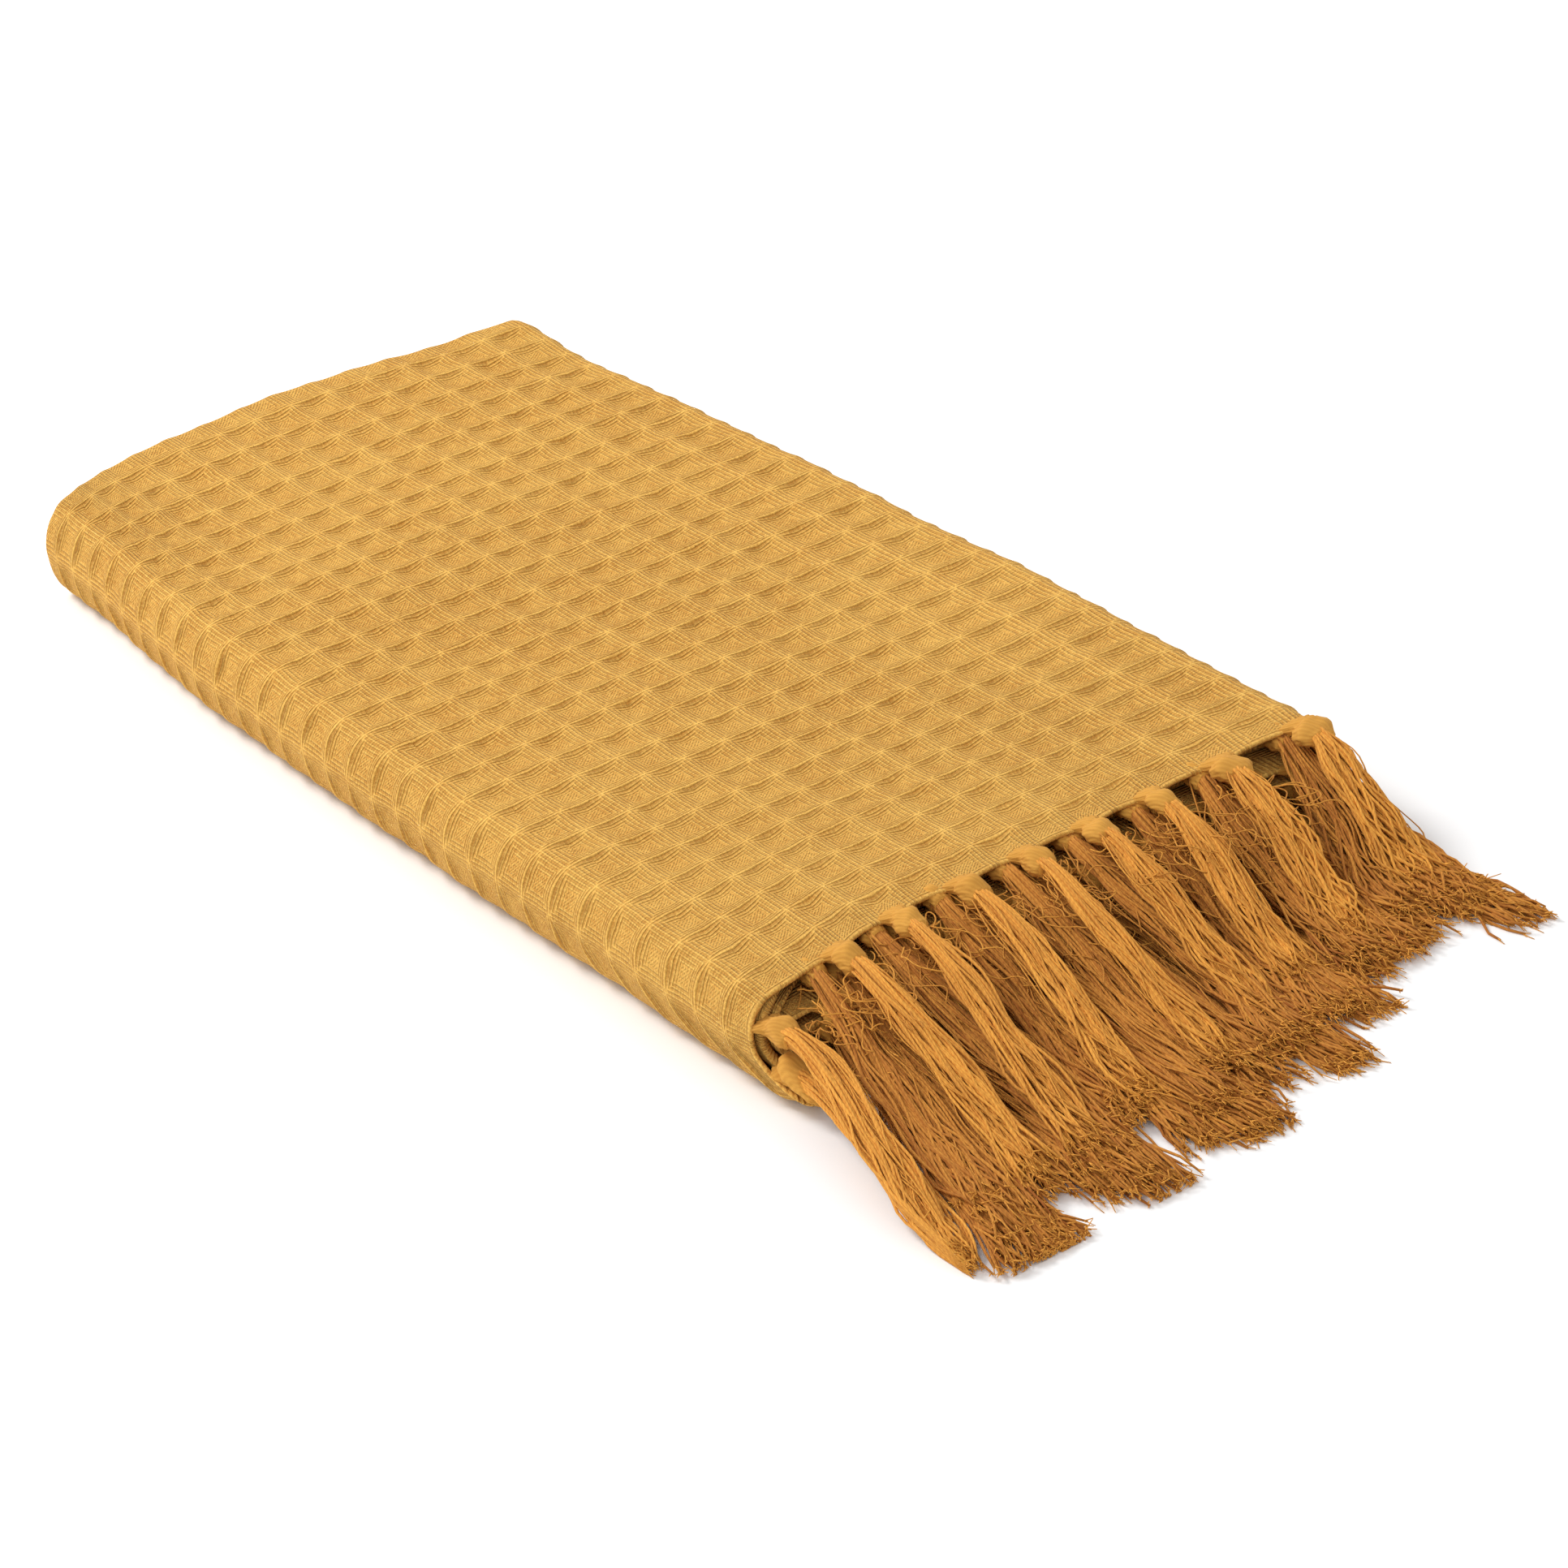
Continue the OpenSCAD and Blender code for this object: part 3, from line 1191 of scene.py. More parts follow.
        middle = self._points(path, strip, place[:, [0, -1]] + 0.8, bend[:, [0, -1]], travel[:, [0, -1]],
                              np.full((len(rows), 2), half))
        normal = np.cross(np.gradient(outer, axis=0), np.gradient(outer, axis=1))
        normal /= np.linalg.norm(normal, axis=2, keepdims=True) + 1e-12
        outer, inner, middle, normal = outer[1:-1], inner[1:-1], middle[1:-1], normal[1:-1]
        marks = np.stack([grid_x, grid_y, relief * shown], -1)[1:-1]
        return self._close(strip, outer, inner, middle, normal, marks, pick, material)

    def _thinning(self, stretch: Stretch, travel: np.ndarray, bend: np.ndarray) -> np.ndarray:
        """How much thinner a ply is at its hem; the plies inside the spine keep their bulk and fill it.

        Args:
            stretch: The stretch of the path.
            travel: Distances along the path.
            bend: Angle round the smooth end.

        Returns:
            Thinning in millimetres.
        """
        into = np.minimum(travel - stretch.start, stretch.start + stretch.length - travel)
        kept = {Turn.SPINE: 0.85 * (bend > 1.0), Turn.INNER: 0.85}.get(stretch.turn, 0.0)
        return self.hem_thinning * (1 - kept * smooth(into, 0, 8))

    def _edge(self, path: FoldPath, strip: Strip, travel: np.ndarray) -> np.ndarray:
        """How thick the cloth is, with a rounded edge at both selvedges.

        Args:
            path: The fold path.
            strip: The strip.
            travel: Distances along the path.

        Returns:
            Shares of the full thickness.
        """
        if strip.stretch == 0:
            return np.sqrt(smooth(travel, -0.4, self.selvedge_round))
        if strip.stretch == len(STRIPS) - 1:
            return np.sqrt(smooth(path.length - travel, -0.4, self.selvedge_round))
        return np.ones_like(travel)

    def _inner_columns(self, along: np.ndarray, turn: np.ndarray) -> np.ndarray:
        """Chooses the columns that the hidden inner face uses too.

        Args:
            along: Places of all columns along the throw.
            turn: Their angles round the smooth end.

        Returns:
            The numbers of the chosen columns.
        """
        keep = [0]
        for number in range(1, len(along) - 1):
            if abs(along[number] - along[keep[-1]]) >= self.hidden_step or turn[number] != turn[keep[-1]]:
                keep.append(number)
        return np.array(keep + [len(along) - 1])

    def _points(self, path: FoldPath, strip: Strip, place: np.ndarray, bend: np.ndarray, travel: np.ndarray,
                reach: np.ndarray) -> np.ndarray:
        """Points of one face of a strip.

        Args:
            path: The fold path.
            strip: The strip.
            place: Places along the throw.
            bend: Angle round the smooth end.
            travel: Distances along the path.
            reach: Distance from the line that the pair of plies folds about.

        Returns:
            Points in millimetres, settled.
        """
        plan = self.plan
        lift = reach * np.cos(bend)
        shift = np.zeros_like(place)
        if strip.stretch == 0:
            step = plan.y_selvedge[3] - plan.y_selvedge[2]
            shift = -step * smooth(bend / math.pi) * (1 - smooth(travel, 0, 60))
        if strip.stretch == len(STRIPS) - 1:
            step = plan.y_selvedge[1] - plan.y_selvedge[0]
            shift = -step * (1 - smooth(bend / math.pi)) * smooth(travel, path.length - 60, path.length)
        across, height = path.locate(travel, lift)
        x = place - reach * np.sin(bend) + self._scallop(strip, place, bend, across)
        return self.drape.settle(np.stack([x, across + shift, height], -1))

    def _scallop(self, strip: Strip, place: np.ndarray, bend: np.ndarray, across: np.ndarray) -> np.ndarray:
        """How far the hem is drawn out to each knot and hangs back between them.

        Args:
            strip: The strip, which says what plies it has.
            place: Places along the throw.
            bend: Angle round the smooth end.
            across: Places across the throw.

        Returns:
            Shifts along the throw, in millimetres.
        """
        near_hem = smooth(place, self.plan.x_hem - 26, self.plan.x_hem)
        pull = np.zeros_like(place)
        for ply, mine in ((strip.outer_ply, bend < 1.0), (strip.inner_ply, bend > 2.0)):
            gaps = np.abs(across[..., None] - self.knots[ply]).min(-1)
            drawn = self.scallop_out * np.exp(-gaps / self.scallop_reach) - self.scallop_back
            pull = np.where(mine, drawn, pull)
        tucked = np.where(bend > 2.0, HEM_OFFSET, 0) * smooth(across - self.plan.y_spine, 8, 50)
        return pull * near_hem**2 - tucked * near_hem

    def _close(self, strip: Strip, outer: np.ndarray, inner: np.ndarray, middle: np.ndarray,
               normal: np.ndarray, marks: np.ndarray, pick: np.ndarray,
               material: bpy.types.Material) -> bpy.types.Object:
        """Joins the outer face, the inner face and the hems into one closed mesh.

        Args:
            strip: The strip.
            outer: Grid of points of the outer face.
            inner: Grid of points of the inner face, which has fewer columns.
            middle: The points between both at the two hems.
            normal: Normals of the outer face.
            marks: The shader's numbers at the outer face's points.
            pick: The columns that the inner face uses.
            material: The cloth's finish.

        Returns:
            The strip's mesh object.
        """
        rows, columns, _ = outer.shape
        few = inner.shape[1]
        first_inner = rows * columns
        first_middle = first_inner + rows * few
        points = np.concatenate([outer.reshape(-1, 3), inner.reshape(-1, 3), middle.reshape(-1, 3)])
        point_marks = np.concatenate([marks.reshape(-1, 3), marks[:, pick].reshape(-1, 3),
                                      marks[:, [0, -1]].reshape(-1, 3)])
        face_out = grid_faces(rows, columns)
        face_in = grid_faces(rows, few)[:, ::-1] + first_inner
        row = np.arange(rows - 1)

        def hem(column: int, inner_column: int, spot: int, flip: bool) -> np.ndarray:
            """Makes the two rows of faces round a hem.

            Args:
                column: The hem's column of the outer face.
                inner_column: Its column of the inner face.
                spot: Its column of the points between them.
                flip: Whether the faces have to be turned over.

            Returns:
                The faces.
            """
            a, b = row * columns + column, (row + 1) * columns + column
            c, d = first_middle + row * 2 + spot, first_middle + (row + 1) * 2 + spot
            e, f = first_inner + row * few + inner_column, first_inner + (row + 1) * few + inner_column
            both = np.concatenate([np.stack([a, b, d, c], -1), np.stack([c, d, f, e], -1)])
            return both[:, ::-1] if flip else both

        hems = np.concatenate([hem(0, 0, 0, False), hem(columns - 1, few - 1, 1, True)])
        groups = [face_out, face_in, hems]
        for at_end in (False, True):
            line = (rows - 1) * columns if at_end else 0
            inner_line = first_inner + ((rows - 1) * few if at_end else 0)
            for number in range(few - 1):
                low, high = pick[number], pick[number + 1]
                edge = np.concatenate([line + np.arange(low, high + 1),
                                       [inner_line + number + 1, inner_line + number]])
                groups.append((edge if at_end else edge[::-1])[None, :])
            for column, spot, inner_column in ((0, 0, 0), (columns - 1, 1, few - 1)):
                trio = np.array([line + column, first_middle + ((rows - 1) * 2 if at_end else 0) + spot,
                                 inner_line + inner_column])
                groups.append((trio if at_end == (column > 0) else trio[::-1])[None, :])
        groups = [group[:, ::-1] for group in groups]
        loops = [normal.reshape(-1, 3)[groups[0]]]
        loops += [np.zeros((group.size, 3)) for group in groups[1:]]
        stock = MeshStock()
        stock.add(points, groups, [grid_marks(point_marks, group) for group in groups], loops)
        return stock.object(strip.name, "cells", material)


# ---------------------------------------------------------------- the fringe


@dataclass
class FringeRow:
    """The knots and tassels of one ply, placed by the solids of the frame."""

    ply: int
    knots: np.ndarray
    root_x: float
    tip_x: float

    @classmethod
    def from_frame(cls, ply: int, nodes: dict[str, bpy.types.Object], hem_x: float) -> "FringeRow":
        """Finds the knots of a ply as the separate solids of its node.

        Args:
            ply: The ply's number, from the top.
            nodes: The nodes of the frame.
            hem_x: Where the ply's hem lies.

        Returns:
            The row.
        """
        mesh = nodes[f"knots_{ply}"].data
        across = np.array([vertex.co[1] for vertex in mesh.vertices]) / MM
        spans = sorted((across[list(face.vertices)].min(), across[list(face.vertices)].max())
                       for face in mesh.polygons)
        solids = [list(spans[0])]
        for low, high in spans[1:]:
            if low > solids[-1][1]:
                solids.append([low, high])
            solids[-1][1] = max(solids[-1][1], high)
        centres = np.array([(low + high) / 2 for low, high in solids])
        return cls(ply, centres, hem_x + KNOT_REACH, float(box_mm(f"tassels_{ply}")[1][0]))


@dataclass
class Fringe:
    """Gathered hem, knots and tassels of every ply, swept yarn by yarn.

    The skews say how much further back the tips lie at one side or on top, the fans how far they lean
    sideways, and the slacks how far a yarn may lie outside the frame.
    """

    plan: FoldPlan
    drape: Drape
    rows: dict[int, FringeRow]
    finish: PliedYarn = field(default_factory=PliedYarn)
    knot_finish: PliedYarn = PliedYarn("knotted_yarn", (232, 176, 80), (214, 152, 60), (150, 84, 26))
    yarns: int = 46
    rings: int = 19
    sides: int = 6
    yarn_radius: float = 0.68
    knot_length: float = 13.0
    knot_radius: float = 6.3
    tip_level: float = 1.4
    tip_rise: float = 0.95
    knot_waist: float = 4.4
    near_skew: float = 24
    far_skew: float = 62
    top_skew: float = 18
    far_fan: float = 12
    near_fan: float = 34
    curls: int = 12
    curl_radius: float = 0.38
    stray_reach: float = 6.0
    wisps: int = 9
    wisp_rings: int = 34
    wisp_radius: float = 0.36
    fibres: int = 3
    fibre_radius: float = 0.34
    slack_x: float = 30
    slack_y: float = 17

    def build(self) -> dict[int, list[bpy.types.Object]]:
        """Builds and dresses the knots and the tassels of each ply.

        Returns:
            For each ply, its knots and its tassels.
        """
        material = self.finish.material()
        knotted = self.knot_finish.material()
        made = {}
        for ply, row in self.rows.items():
            leaf = Hold.UPPER if ply <= LEAF_PLIES else Hold.LOWER
            knots = self._knots(row, knotted)
            tassels = self._tassels(row, material)
            for piece, node in ((knots, f"knots_{ply}"), (tassels, f"tassels_{ply}")):
                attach(piece, leaf.value)
                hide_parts(node)
            if leaf is Hold.UPPER:
                anchor = Vector((0, 0, self.plan.ply_z(ply))) * MM
                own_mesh(tassels)
            made[ply] = [knots, tassels]
        return made

    def _knots(self, row: FringeRow, material: bpy.types.Material) -> bpy.types.Object:
        """Builds the gathered hem and the knot of every tassel in a row.

        Args:
            row: The row.
            material: The knots' finish.

        Returns:
            The row's mesh object.
        """
        stock = MeshStock()
        rng = np.random.default_rng(100 + row.ply)
        for centre in row.knots:
            self._knot(stock, row, float(centre), rng)
        return stock.object(f"fringe_knots_{row.ply}", "strand", material)

    def _knot(self, stock: MeshStock, row: FringeRow, centre: float, rng: np.random.Generator) -> None:
        """Builds one knot, lofted from the gathered hem to the root of its tassel.

        Args:
            stock: The piece that it belongs to.
            row: The row.
            centre: Where the knot is across the throw.
            rng: Source of the random shapes.
        """
        plan = self.plan
        sides, levels = 40, 30
        root_x = self._root_x(row, centre)
        start = root_x - KNOT_REACH - 3.0
        end = root_x + 1.0
        share = np.linspace(0, 1, levels)
        ball = (end - self.knot_length - start) / (end - start)
        bulge = np.sqrt(np.clip(1 - ((share - (1 + ball) / 2) / ((1 - ball) / 2)) ** 2, 0, 1))
        neck = 1 - smooth(share, 0, ball)
        tucked = row.ply in SHORT_PLIES and centre > plan.y_spine_c
        size = self.knot_radius * rng.uniform(0.9, 1.1) * (0.8 if tucked else 1)
        wide = self.knot_waist + neck * 3.0 + bulge * (size - self.knot_waist)
        high = np.maximum(2.2 + smooth(share, 0, ball) * 1.6, bulge * size * 0.9)
        turn = np.arange(sides + 1) * TAU / sides
        twist = share * rng.uniform(0.8, 1.6) + rng.uniform(0, TAU)
        angle = turn[None, :] + 0 * share[:, None]
        wound = twist[:, None]
        strands = 0.7 * np.abs(np.sin(6 * angle + 4.5 * wound)) + 0.1 * np.sin(19 * angle + 5 * wound)
        lumps = 0.9 * np.sin(2 * angle + 3 * wound) + 0.5 * np.sin(3 * angle - 7 * wound)
        reach = strands + lumps * bulge[:, None]
        x = start + share[:, None] * (end - start) + 0 * angle
        y = centre + np.cos(angle) * (wide[:, None] + reach)
        z = plan.ply_z(row.ply) + np.sin(angle) * (high[:, None] + reach) + 1.2 * bulge[:, None]
        points = self.drape.settle(np.stack([x, y, z], -1))
        points[..., 2] = np.maximum(points[..., 2], 0.3)
        along = share[:, None] * 20 + 0 * angle
        own = np.full_like(along, rng.uniform(0, 0.35))
        marks = np.stack([along, turn[None, :] / TAU * 7 + 0 * along, own], -1)
        faces = grid_faces(levels, sides + 1)[:, ::-1]
        corner_marks = grid_marks(marks, faces)
        merged = np.mod(faces, sides + 1)
        faces = np.where(merged == sides, faces - sides, faces)
        used = np.arange(sides)
        first = used[None, :]
        last = ((levels - 1) * (sides + 1) + used)[None, ::-1]
        cap = np.zeros((1, sides, 3))
        stock.add(points, [faces, first, last], [corner_marks, cap, cap])

    def _root_x(self, row: FringeRow, centre: float) -> float:
        """Where a knot ends; the hem is not tucked in where it turns down the spine."""
        corner = row.ply in SHORT_PLIES and centre < self.plan.y_spine_c
        return row.root_x + (HEM_OFFSET if corner else 0)

    def _tassels(self, row: FringeRow, material: bpy.types.Material) -> bpy.types.Object:
        """Builds every tassel of a row.

        Args:
            row: The row.
            material: The tassels' finish.

        Returns:
            The row's mesh object.
        """
        stock = MeshStock()
        rng = np.random.default_rng(200 + row.ply)
        for centre in row.knots:
            self._tassel(stock, row, float(centre), rng)
        return stock.object(f"fringe_tassels_{row.ply}", "strand", material)

    def _line(self, row: FringeRow, centre: float, rng: np.random.Generator) -> np.ndarray:
        """Draws the middle line of a tassel, from its knot to its tip.

        Args:
            row: The row.
            centre: Where the tassel's knot is across the throw.
            rng: Source of the random shapes.

        Returns:
            Points of the line, in millimetres.
        """
        plan = self.plan
        on_top = (PLIES - row.ply) / (PLIES - 1)
        root = np.array([self._root_x(row, centre) - 2.0, centre, plan.ply_z(row.ply) + 0.8])
        share = (centre - plan.y_spine) / (plan.y_far - plan.y_spine)
        skew = self.near_skew * smooth(share, -0.1, 0.25) - self.far_skew * smooth(share, 0.35, 1.1)
        skew = skew - self.top_skew * on_top
        far_fan = self.far_fan * smooth(share, 0.78, 0.97) * (1 - 0.7 * on_top)
        near_fan = -self.near_fan * smooth(1 - share, 0.6, 0.92) * (1 - 0.7 * on_top)
        loose = 6 if row.ply == 1 else 14
        lean = float(far_fan + near_fan) - 9 * on_top + rng.uniform(-loose, loose)
        tip = np.array([row.tip_x + float(skew) + rng.uniform(-1.4, 0.8) * loose, centre + lean,
                        self.tip_level + self.tip_rise * (PLIES - row.ply)])
        if centre < plan.y_spine_c:
            tip = np.array([plan.x_tip - 2, plan.y_spine - 13, self.tip_level + 0.5 * (PLIES - row.ply)])
        reach, drift = tip[0] - root[0], tip[1] - root[1]
        free = row.ply == 1 or centre < plan.y_spine_c
        lift = 2.5 if free else -0.3 * root[2]
        after = root + [reach * 0.3, drift * 0.35, lift]
        before = tip + [-reach * 0.38, -drift * 0.3, 7.0 if free else 1.5]
        if centre < plan.y_spine_c:
            after, before = root + [26, 3, 4 * on_top], tip + [-32, 6, 14 * on_top]
        t = np.linspace(0, 1, self.rings)[:, None]
        return (1 - t) ** 3 * root + 3 * (1 - t) ** 2 * t * after + 3 * (1 - t) * t**2 * before + t**3 * tip

    def _tassel(self, stock: MeshStock, row: FringeRow, centre: float, rng: np.random.Generator) -> None:
        """Builds one tassel: a bundle of yarns, a few strays, and frayed ends.

        Args:
            stock: The piece that it belongs to.
            row: The row.
            centre: Where the tassel's knot is across the throw.
            rng: Source of the random shapes.
        """
        line = self._line(row, centre, rng)
        count, rings = self.yarns, self.rings
        t = np.linspace(0, 1, rings)[None, :]
        spread_at = np.sqrt(rng.uniform(0, 1, count))[:, None]
        angle = rng.uniform(0, TAU, count)[:, None] + 0.5 * rng.normal(size=(count, 1)) * t
        hidden = row.ply > 1 and centre > self.plan.y_spine_c
        flare = rng.uniform(4.0, 9.0) if hidden else rng.uniform(1.0, 4.0)
        wide = 3.9 + smooth(t, 0.0, 0.35) * 3.0 + t**1.6 * flare
        high = 3.9 - 0.4 * t - 1.5 * t**2
        wave = rng.uniform(0, TAU, (4, count, 1))
        length = rng.uniform(1.2, 3.2, (2, count, 1))
        loose = (0.45 + 2.4 * t**1.3) * rng.uniform(0.4, 1.5, (count, 1))
        side = np.cos(angle) * spread_at * wide + loose * np.sin(TAU * length[0] * t + wave[0])
        lift = np.sin(angle) * spread_at * high + 0.55 * loose * np.sin(TAU * length[1] * t + wave[1])
        side = side + rng.uniform(1.0, 3.0) * np.sin(TAU * 0.8 * t + rng.uniform(0, TAU)) * t
        cut = rng.uniform(-8, 4, (count, 1)) * t**3
        lines = self._along(line, side, lift, cut)
        radii = self.yarn_radius * rng.uniform(0.85, 1.12, (count, 1)) * (1 - 0.25 * smooth(t, 0.9, 1.0))
        lines[..., 2] = np.maximum(lines[..., 2], radii + 0.1)
        # Painted shade: tassels of the lower plies, which lie under others, are darker, and so are the yarns
        # on the lower side of each bundle; the rest of each yarn's number is a random tone
        shade = 0.5 if hidden else 0.0
        below = 0.3 * np.clip(-np.sin(angle[:, 0]) + 0.2, 0, 1) * spread_at[:, 0]
        own = rng.uniform(0, 0.45, count) + shade + below
        add_tubes(stock, lines, radii, own, self.sides, rng.uniform(0, 5))
        self._fray(stock, lines, rng)
        # Their loose curls get half of that painted shade
        self._curl(stock, line, shade * 0.5, rng)
        if centre < self.plan.y_far - 34:
            beside = np.clip(self.plan.y_spine + 36 - centre, 0, 16)
            self._wisp(stock, line[0] + [0, beside, 0], 1 - 0.03 * beside, rng)

    def _along(self, line: np.ndarray, side: np.ndarray, lift: np.ndarray, run_on: np.ndarray) -> np.ndarray:
        """Lines beside a middle line, settled with the cloth.

        Args:
            line: Points of the middle line.
            side: Distance to the side of it, for each line and ring.
            lift: Distance above it.
            run_on: Distance further along it.

        Returns:
            Points of the lines.
        """
        run = np.gradient(line, axis=0)
        run /= np.linalg.norm(run, axis=1, keepdims=True)
        across = np.cross([0.0, 0.0, 1.0], run)
        across /= np.linalg.norm(across, axis=1, keepdims=True)
        above = np.cross(run, across)
        lines = line[None] + side[..., None] * across[None] + lift[..., None] * above[None]
        lines = self.drape.settle(lines + run_on[..., None] * run[None])
        return self._within(lines)

    def _within(self, lines: np.ndarray) -> np.ndarray:
        """Keeps the outermost yarns near the throw.

        Args:
            lines: Points of the lines, which are changed in place.

        Returns:
            The same points.
        """
        low_y, high_y = self.plan.y_spine - self.slack_y, self.plan.y_far + self.slack_y
        lines[..., 0] = np.minimum(lines[..., 0], self.plan.x_tip + self.slack_x)
        lines[..., 1] = np.clip(lines[..., 1], low_y, high_y)
        return lines

    def _curl(self, stock: MeshStock, line: np.ndarray, shade: float, rng: np.random.Generator) -> None:
        """Adds thin single strands that have come loose and curl beside a tassel.

        Args:
            stock: The piece that they belong to.
            line: The middle line of the tassel.
            shade: How much painted shade darkens them below the lightest yarn.
            rng: Source of the random shapes.
        """
        count, rings = self.curls, self.rings
        t = np.linspace(0, 1, rings)[None, :]
        start = rng.uniform(0, 0.4, (count, 1))
        wave = rng.uniform(0, TAU, (2, count, 1))
        turns = rng.uniform(1.2, 3.2, (count, 1))
        away = rng.normal(0, self.stray_reach if shade else 4.0, (count, 1))
        away = away * np.sin(math.pi * (0.1 + 0.9 * t))
        side = away + 3.5 * t * np.sin(TAU * turns * t + wave[0])
        lift = rng.uniform(-3, 3, (count, 1)) + 3.0 * t * np.cos(TAU * turns * t + wave[1])
        back = 30 * rng.uniform(-1, 0.1, (count, 1)) * t - 20 * start * (1 - t)
        lines = self._along(line, side, lift, back)
        radii = np.full((count, rings), self.curl_radius)
        lines[..., 2] = np.maximum(lines[..., 2], 0.5)
        add_tubes(stock, lines, radii, rng.uniform(0, 0.4, count) + shade, 4)

    def _wisp(self, stock: MeshStock, root: np.ndarray, size: float, rng: np.random.Generator) -> None:
        """Adds loose curly strands that fill the gaps between the roots of the tassels.

        Args:
            stock: The piece that they belong to.
            root: Where the tassel leaves its knot.
            size: How far the strands wander, as a share of the usual.
            rng: Source of the random shapes.
        """
        count, rings = self.wisps, self.wisp_rings
        t = np.linspace(0, 1, rings)[None, :, None]
        start = root + size * rng.uniform((-5, -13, -4.5), (14, 13, -1.0), (count, 3))
        reach = size * rng.uniform((14, -9, -5), (48, 9, -1), (count, 3))
        lines = start[:, None] + reach[:, None] * t
        for sway, waves in ((4.2, 1.5), (1.1, 3.0)):
            phase = rng.uniform(0, TAU, (count, 1, 3))
            swing = np.sin(TAU * waves * rng.uniform(0.6, 1.3, (count, 1, 3)) * t + phase)
            lines = lines + size * sway * np.array([0.8, 1.0, 0.35]) * (swing - np.sin(phase))
        lines = self._within(self.drape.settle(lines))
        lines[..., 2] = np.maximum(lines[..., 2], 0.6)
        radii = np.full((count, rings), self.wisp_radius)
        add_tubes(stock, lines, radii, rng.uniform(0, 0.6, count), 4)

    def _fray(self, stock: MeshStock, lines: np.ndarray, rng: np.random.Generator) -> None:
        """Adds fine fibres that stand out of the yarns' cut ends.

        Args:
            stock: The piece that they belong to.
            lines: Points of the yarns.
            rng: Source of the random shapes.
        """
        tips, before = lines[:, -1], lines[:, -2]
        run = tips - before
        run /= np.linalg.norm(run, axis=1, keepdims=True)
        rings = 3
        start = np.repeat(tips - run * 1.5, self.fibres, axis=0)
        aim = np.repeat(run, self.fibres, axis=0) + rng.normal(0, 0.4, (len(tips) * self.fibres, 3))
        length = rng.uniform(1.5, 5.0, (len(aim), 1, 1))
        t = np.linspace(0, 1, rings)[None, :, None]
        threads = self._within(start[:, None] + aim[:, None] * length * t)
        threads[..., 2] = np.maximum(threads[..., 2], 0.35)
        radii = np.full((len(aim), rings), self.fibre_radius) * np.linspace(1, 0.6, rings)
        add_tubes(stock, threads, radii, np.zeros(len(aim)), 4)


# ---------------------------------------------------------------- the studio


@dataclass(frozen=True)
class Lamp:
    """A square light that faces the throw: where it hangs, its side in metres and its power in watts."""

    name: str
    place: tuple[float, float, float]
    size: float
    power: float

    def hang(self) -> None:
        """Adds the light to the scene."""
        light = bpy.data.lights.new(self.name, "AREA")
        light.energy = self.power
        light.size = self.size
        holder = bpy.data.objects.new(self.name, light)
        holder.location = self.place
        holder.rotation_euler = (-Vector(self.place)).to_track_quat("-Z", "Y").to_euler()
        bpy.context.scene.collection.objects.link(holder)


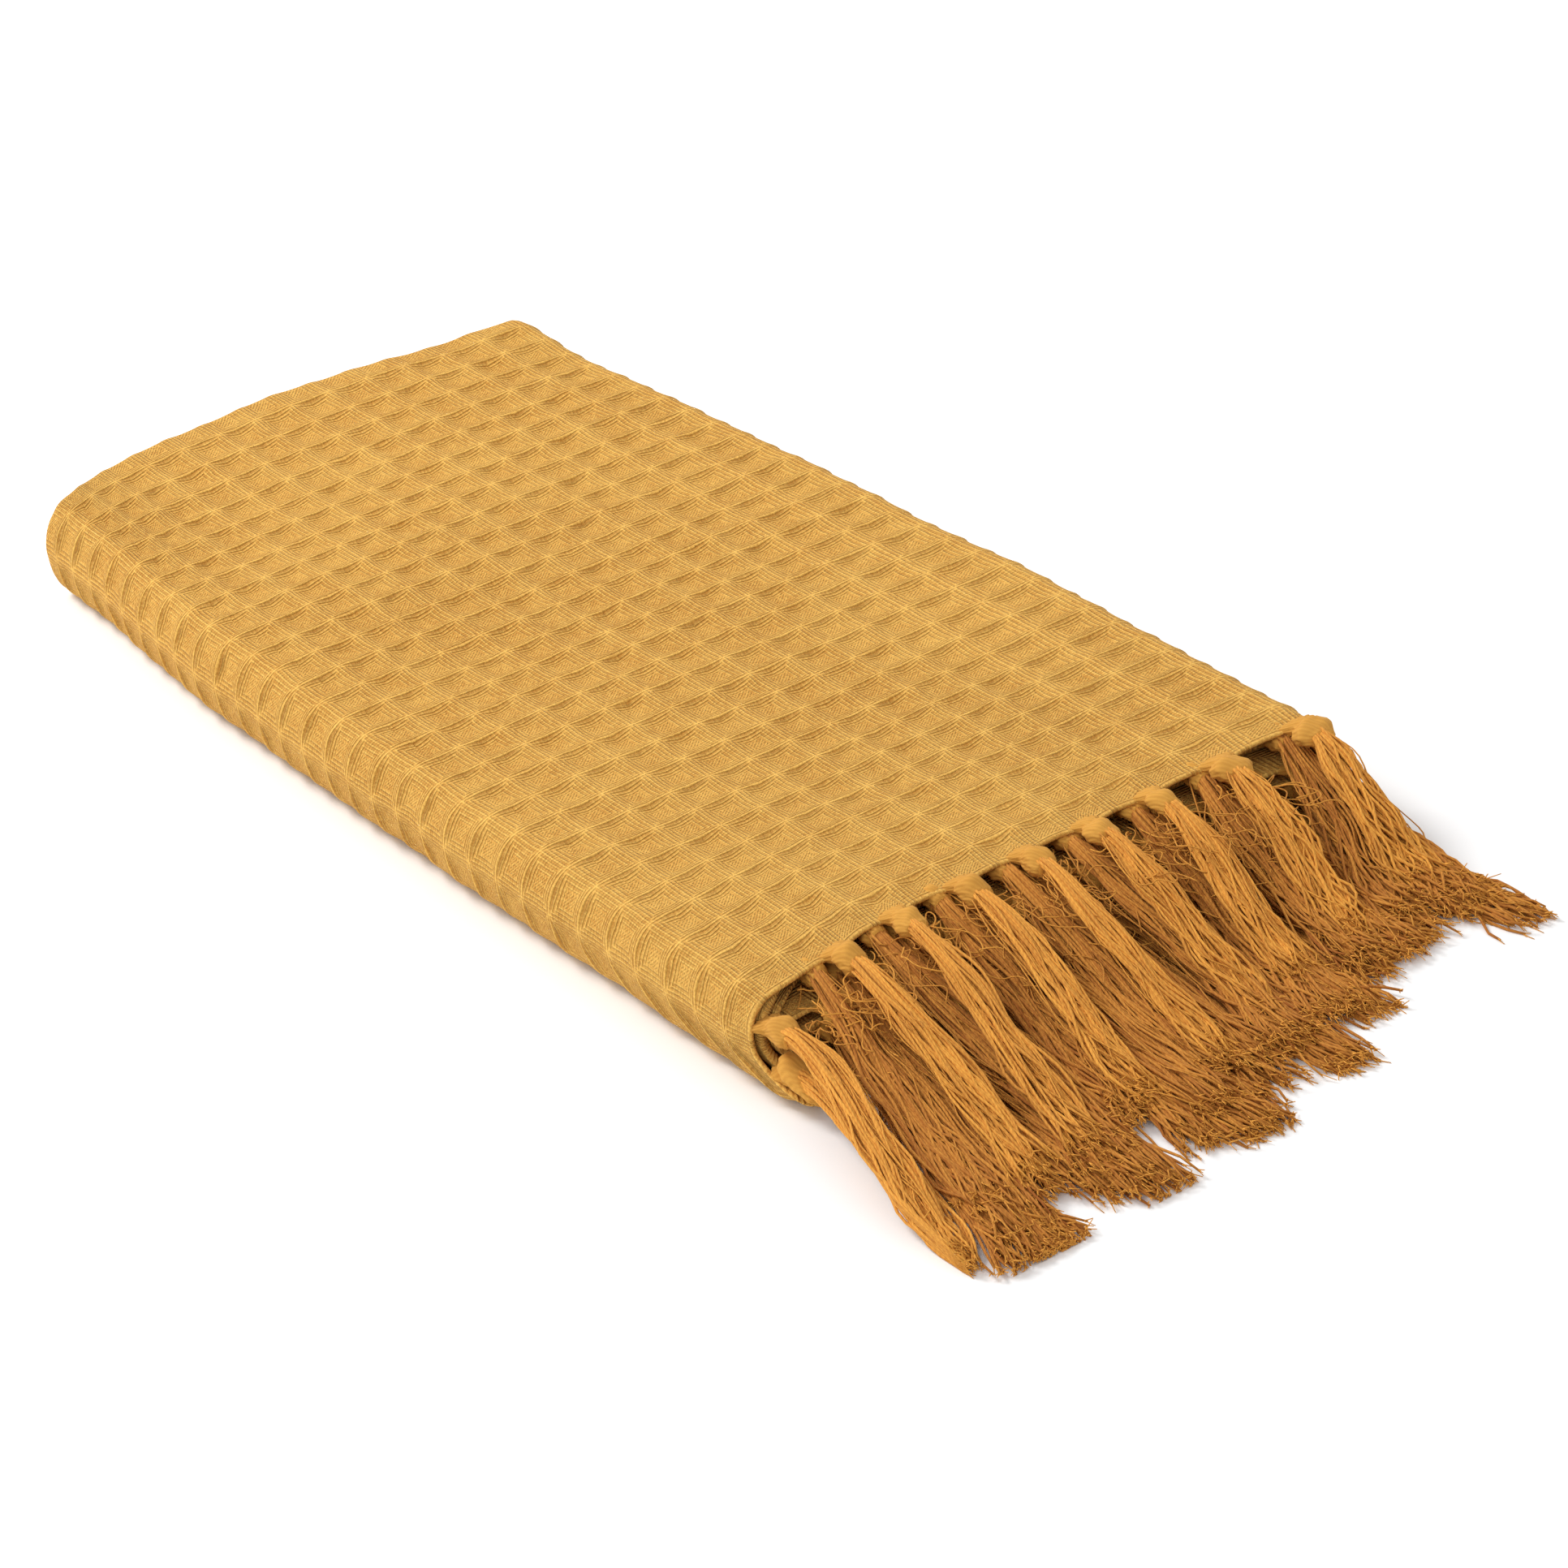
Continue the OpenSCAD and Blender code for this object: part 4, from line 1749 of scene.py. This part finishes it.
@dataclass(frozen=True)
class Studio:
    """A pale floor, soft light and a camera that looks down on the hem and the spine."""

    azimuth: float = 57.0
    elevation: float = 29.3
    roll: float = -6.3
    distance: float = 2.595
    focal_length: float = 130.43
    sensor: float = 36.0
    target: tuple[float, float, float] = (0.04, 0.0075, 0.0)
    sky_strength: float = 0.74
    floor_reach: float = 6.0
    floor_white: float = 0.93
    lamps: tuple[Lamp, ...] = (
        Lamp("key", (-2.2, -1.1, 2.5), 1.3, 90),
        Lamp("fill", (1.3, -1.9, 1.5), 1.8, 8),
    )

    def build(self) -> None:
        """Makes the camera, the floor and the lights."""
        self._camera()
        self._floor()
        self._lights()

    def _camera(self) -> None:
        """Puts the camera on its line of sight."""
        azimuth, elevation, roll = (math.radians(v) for v in (self.azimuth, self.elevation, self.roll))
        back = Vector((math.sin(azimuth) * math.cos(elevation), -math.cos(azimuth) * math.cos(elevation),
                       math.sin(elevation)))
        right = Vector((math.cos(azimuth), math.sin(azimuth), 0))
        up = back.cross(right)
        turned_right = right * math.cos(roll) + up * math.sin(roll)
        turned_up = up * math.cos(roll) - right * math.sin(roll)
        camera = bpy.data.cameras.new("camera")
        camera.sensor_width = self.sensor
        camera.lens = self.focal_length
        camera.clip_end = 20
        holder = bpy.data.objects.new("camera", camera)
        holder.matrix_world = Matrix.Translation(Vector(self.target) + back * self.distance) @ Matrix(
            (turned_right, turned_up, back)).transposed().to_4x4()
        bpy.context.scene.collection.objects.link(holder)
        bpy.context.scene.camera = holder

    def _floor(self) -> None:
        """Lays a plain pale floor."""
        reach = self.floor_reach
        mesh = bpy.data.meshes.new("floor")
        corners = [(-reach, -reach, 0), (reach, -reach, 0), (reach, reach, 0), (-reach, reach, 0)]
        mesh.from_pydata(corners, [], [(0, 1, 2, 3)])
        floor = bpy.data.objects.new("floor", mesh)
        bpy.context.scene.collection.objects.link(floor)
        graph = Graph("floor_white")
        white = (self.floor_white, self.floor_white, self.floor_white, 1)
        mesh.materials.append(graph.finish({
            "Base Color": white, "Roughness": 0.9, "Specular IOR Level": 0.1}))

    def _lights(self) -> None:
        """Hangs a soft key light at the back left, a weak fill at the front, and an even sky."""
        world = bpy.data.worlds.new("sky")
        bpy.context.scene.world = world
        world.use_nodes = True
        world.node_tree.nodes["Background"].inputs["Color"].default_value = (1, 1, 1, 1)
        world.node_tree.nodes["Background"].inputs["Strength"].default_value = self.sky_strength
        for lamp in self.lamps:
            lamp.hang()
        bpy.context.scene.view_settings.view_transform = "Standard"


def main() -> None:
    """Builds the throw round its frame, and the studio that it lies in."""
    logging.basicConfig(level=logging.INFO, format="%(name)s: %(message)s")
    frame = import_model()
    Studio().build()
    plan = FoldPlan.from_frame()
    drape = Drape(plan)
    rows = {}
    for ply in range(1, PLIES + 1):
        hem_x = plan.x_hem - (HEM_OFFSET if ply in SHORT_PLIES else 0)
        rows[ply] = FringeRow.from_frame(ply, frame["nodes"], hem_x)
    fringe = Fringe(plan, drape, rows).build()
    cloth = WaffleCloth(plan, drape, {ply: row.knots for ply, row in rows.items()})
    pieces = cloth.build()
    cloth.declare(pieces, fringe)


if __name__ == "__main__":
    main()
